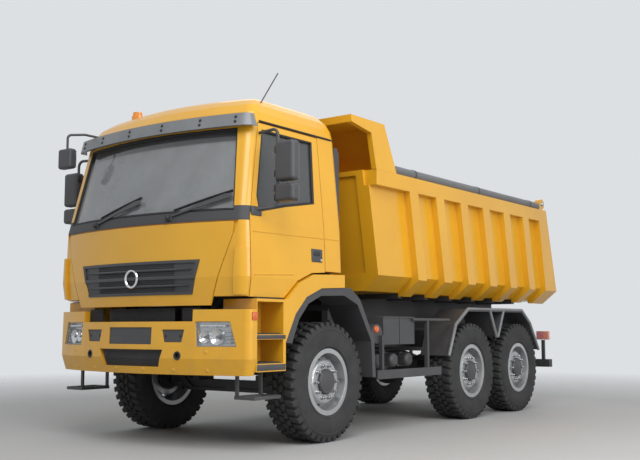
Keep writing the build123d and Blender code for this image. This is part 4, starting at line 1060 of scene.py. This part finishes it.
cover = edit(line(spiral), pull, weld)
for vertex in cover.data.vertices:
    wave = math.sin(vertex.co.x * 9.0) * math.sin(vertex.co.x * 3.7)
    vertex.co.z = ROLL.z + (vertex.co.z - ROLL.z) * (0.985 + 0.014 * wave)
apply(cover, "SOLIDIFY", thickness=COVER_THICK, offset=0)
dress(cover, "rolled_cover", COVER_CLOTH, "bed", 60)
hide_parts("sheet_roll")
ties = []
for ahead in (-1.60, -3.10, -4.60):
    tie = lathe([(ROLL_R + 0.0004, -0.012), (ROLL_R + 0.0018, -0.012), (ROLL_R + 0.0018, 0.012),
                 (ROLL_R + 0.0004, 0.012), (ROLL_R + 0.0004, -0.012)], 36)
    ties.append(settle(tie, at(ahead, ROLL.y, ROLL.z), (0, 0, math.pi / 2)))
dress(joined(ties), "cover_ties", DARK_PLASTIC, "bed")

# %% [markdown]
# ## Seats
# The pads are stuffed cloth. Each starts as a block a little too small, is remeshed finely, and is blown up with
# Blender's cloth, which crowns its faces and pulls its sides in between the corners. Sewn channels are pressed in
# afterwards.

# %% Seats
# columns: name, low corner, high corner, rounding
PADS = (
    ("seat_cushion", (0.052, 0.292, 1.802), (0.508, 0.748, 1.918), 0.045),
    ("seat_back", (0.014, 0.302, 1.935), (0.116, 0.738, 2.468), 0.040),
    ("seat_headrest", (0.024, 0.394, 2.494), (0.098, 0.646, 2.668), 0.032),
)
PAD_SWELL = 0.016
PAD_VOXEL = 0.011
PAD_PRESSURE = 4
PAD_FRAMES = 20
CHANNELS = (0.405, 0.635)
CHANNEL_WIDTH, CHANNEL_DEPTH = 0.010, 0.009


def stuffed(obj):
    """Blow a closed form up as cloth, each point no further than the swell."""
    before = [vertex.co.copy() for vertex in obj.data.vertices]
    stuffing = pick(obj).modifiers.new("stuffing", "CLOTH")
    stuffing.settings.quality = 4
    stuffing.settings.use_pressure = True
    stuffing.settings.uniform_pressure_force = PAD_PRESSURE
    stuffing.settings.effector_weights.gravity = 0
    for number in range(1, PAD_FRAMES + 1):
        bpy.context.scene.frame_set(number)
    bpy.ops.object.modifier_apply(modifier="stuffing")
    bpy.context.scene.frame_set(1)
    for vertex, start in zip(obj.data.vertices, before):
        move = vertex.co - start
        if move.length > PAD_SWELL:
            vertex.co = start + move.normalized() * PAD_SWELL
    return obj


for kind, low, high, rounding in PADS:
    pad = rounded(at(*low), at(*high), rounding, 4)
    apply(pad, "REMESH", mode="VOXEL", voxel_size=PAD_VOXEL)
    stuffed(pad)
    centre = (at(*low) + at(*high)) / 2
    lines = () if kind == "seat_headrest" else CHANNELS
    for vertex in pad.data.vertices:
        groove = sum(math.exp(-((vertex.co.y - y) / CHANNEL_WIDTH) ** 2) for y in lines)
        vertex.co += (centre - vertex.co).normalized() * CHANNEL_DEPTH * groove
    apply(pad, "SUBSURF", levels=1, render_levels=1)
    for obj in dress_both(pad, kind, SEAT_CLOTH, "cab", 60):
        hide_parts("seats")

base = joined([rounded(at(0.125 + lip, 0.365 + lip, z), at(0.455 - lip, 0.675 - lip, z + 0.030), 0.010)
               for z, lip in ((1.652, 0), (1.679, 0.018), (1.706, 0), (1.733, 0.018), (1.758, 0))])
dress_both(base, "seat_base", BLACK_PLASTIC, "cab")
print("pads", 2 * len(PADS))

# %% [markdown]
# ## Camera, floor and light
# The camera stands low in front of the left corner and looks slightly up, as in the photograph. The floor is pale
# and plain, and fades into the backdrop some metres away, so that no horizon cuts the picture. A large soft lamp
# over the front left corner gives the long highlights, and two weaker ones fill.

# %% Camera and stage
CAMERA_PLACE = (9.0545, 6.405, 1.058)
CAMERA_YAW = math.radians(-143.1)
CAMERA_PITCH = math.radians(6.1)
LENS = 51.93
bpy.ops.object.select_all(action="DESELECT")
bpy.ops.object.camera_add(location=CAMERA_PLACE)
camera = bpy.context.object
gaze = Vector((math.cos(CAMERA_PITCH) * math.cos(CAMERA_YAW), math.cos(CAMERA_PITCH) * math.sin(CAMERA_YAW),
               math.sin(CAMERA_PITCH)))
camera.rotation_euler = gaze.to_track_quat("-Z", "Y").to_euler()
camera.data.lens = LENS
camera.data.sensor_width = 36
camera.data.clip_end = 200
scene = bpy.context.scene
scene.camera = camera
scene.view_settings.view_transform = "Standard"

bpy.ops.mesh.primitive_plane_add(size=120)
floor = bpy.context.object
floor.name = "floor"
made, root, shader, place = finish("pale_floor")
mottle = noise(root, place, 0.8, 4.0)
distance = root.node("ShaderNodeVectorMath", {"operation": "LENGTH"}, {0: place}, out="Value")
feed(shader, Base_Color=mottle.mix(rgb(180, 180, 179), rgb(188, 188, 187)), Roughness=0.65 + mottle * 0.1,
     Alpha=1 - distance.ramp(5.0, 13.0), Specular_IOR_Level=0.12)
floor.data.materials.append(made)

# columns: place, aim, size, power
LAMPS = (
    ((7.5, 5.5, 8.5), (0.5, 0.5, 1.4), 6.0, 620),
    ((2.0, 9.5, 4.0), (0.0, 1.0, 1.3), 5.0, 400),
    ((-8.0, -4.0, 7.0), (0.0, 0.0, 1.5), 9.0, 190),
)
for spot, aim, size, power in LAMPS:
    bpy.ops.object.light_add(type="AREA", location=spot)
    lamp = bpy.context.object
    lamp.rotation_euler = (Vector(aim) - Vector(spot)).to_track_quat("-Z", "Y").to_euler()
    lamp.data.size = size
    lamp.data.energy = power

world = bpy.data.worlds.new("studio")
world.use_nodes = True
scene.world = world
root = Socket(world.node_tree)
rays = [root.node("ShaderNodeLightPath", out=f"Is {kind} Ray") for kind in ("Camera", "Glossy", "Transmission")]
seen = (rays[0] + rays[1] + rays[2]) > 0.5
feed(world.node_tree.nodes["Background"], Color=rgb(226, 229, 232), Strength=0.55 + seen * 0.40)
print("camera at", CAMERA_PLACE, "lamps", len(LAMPS))
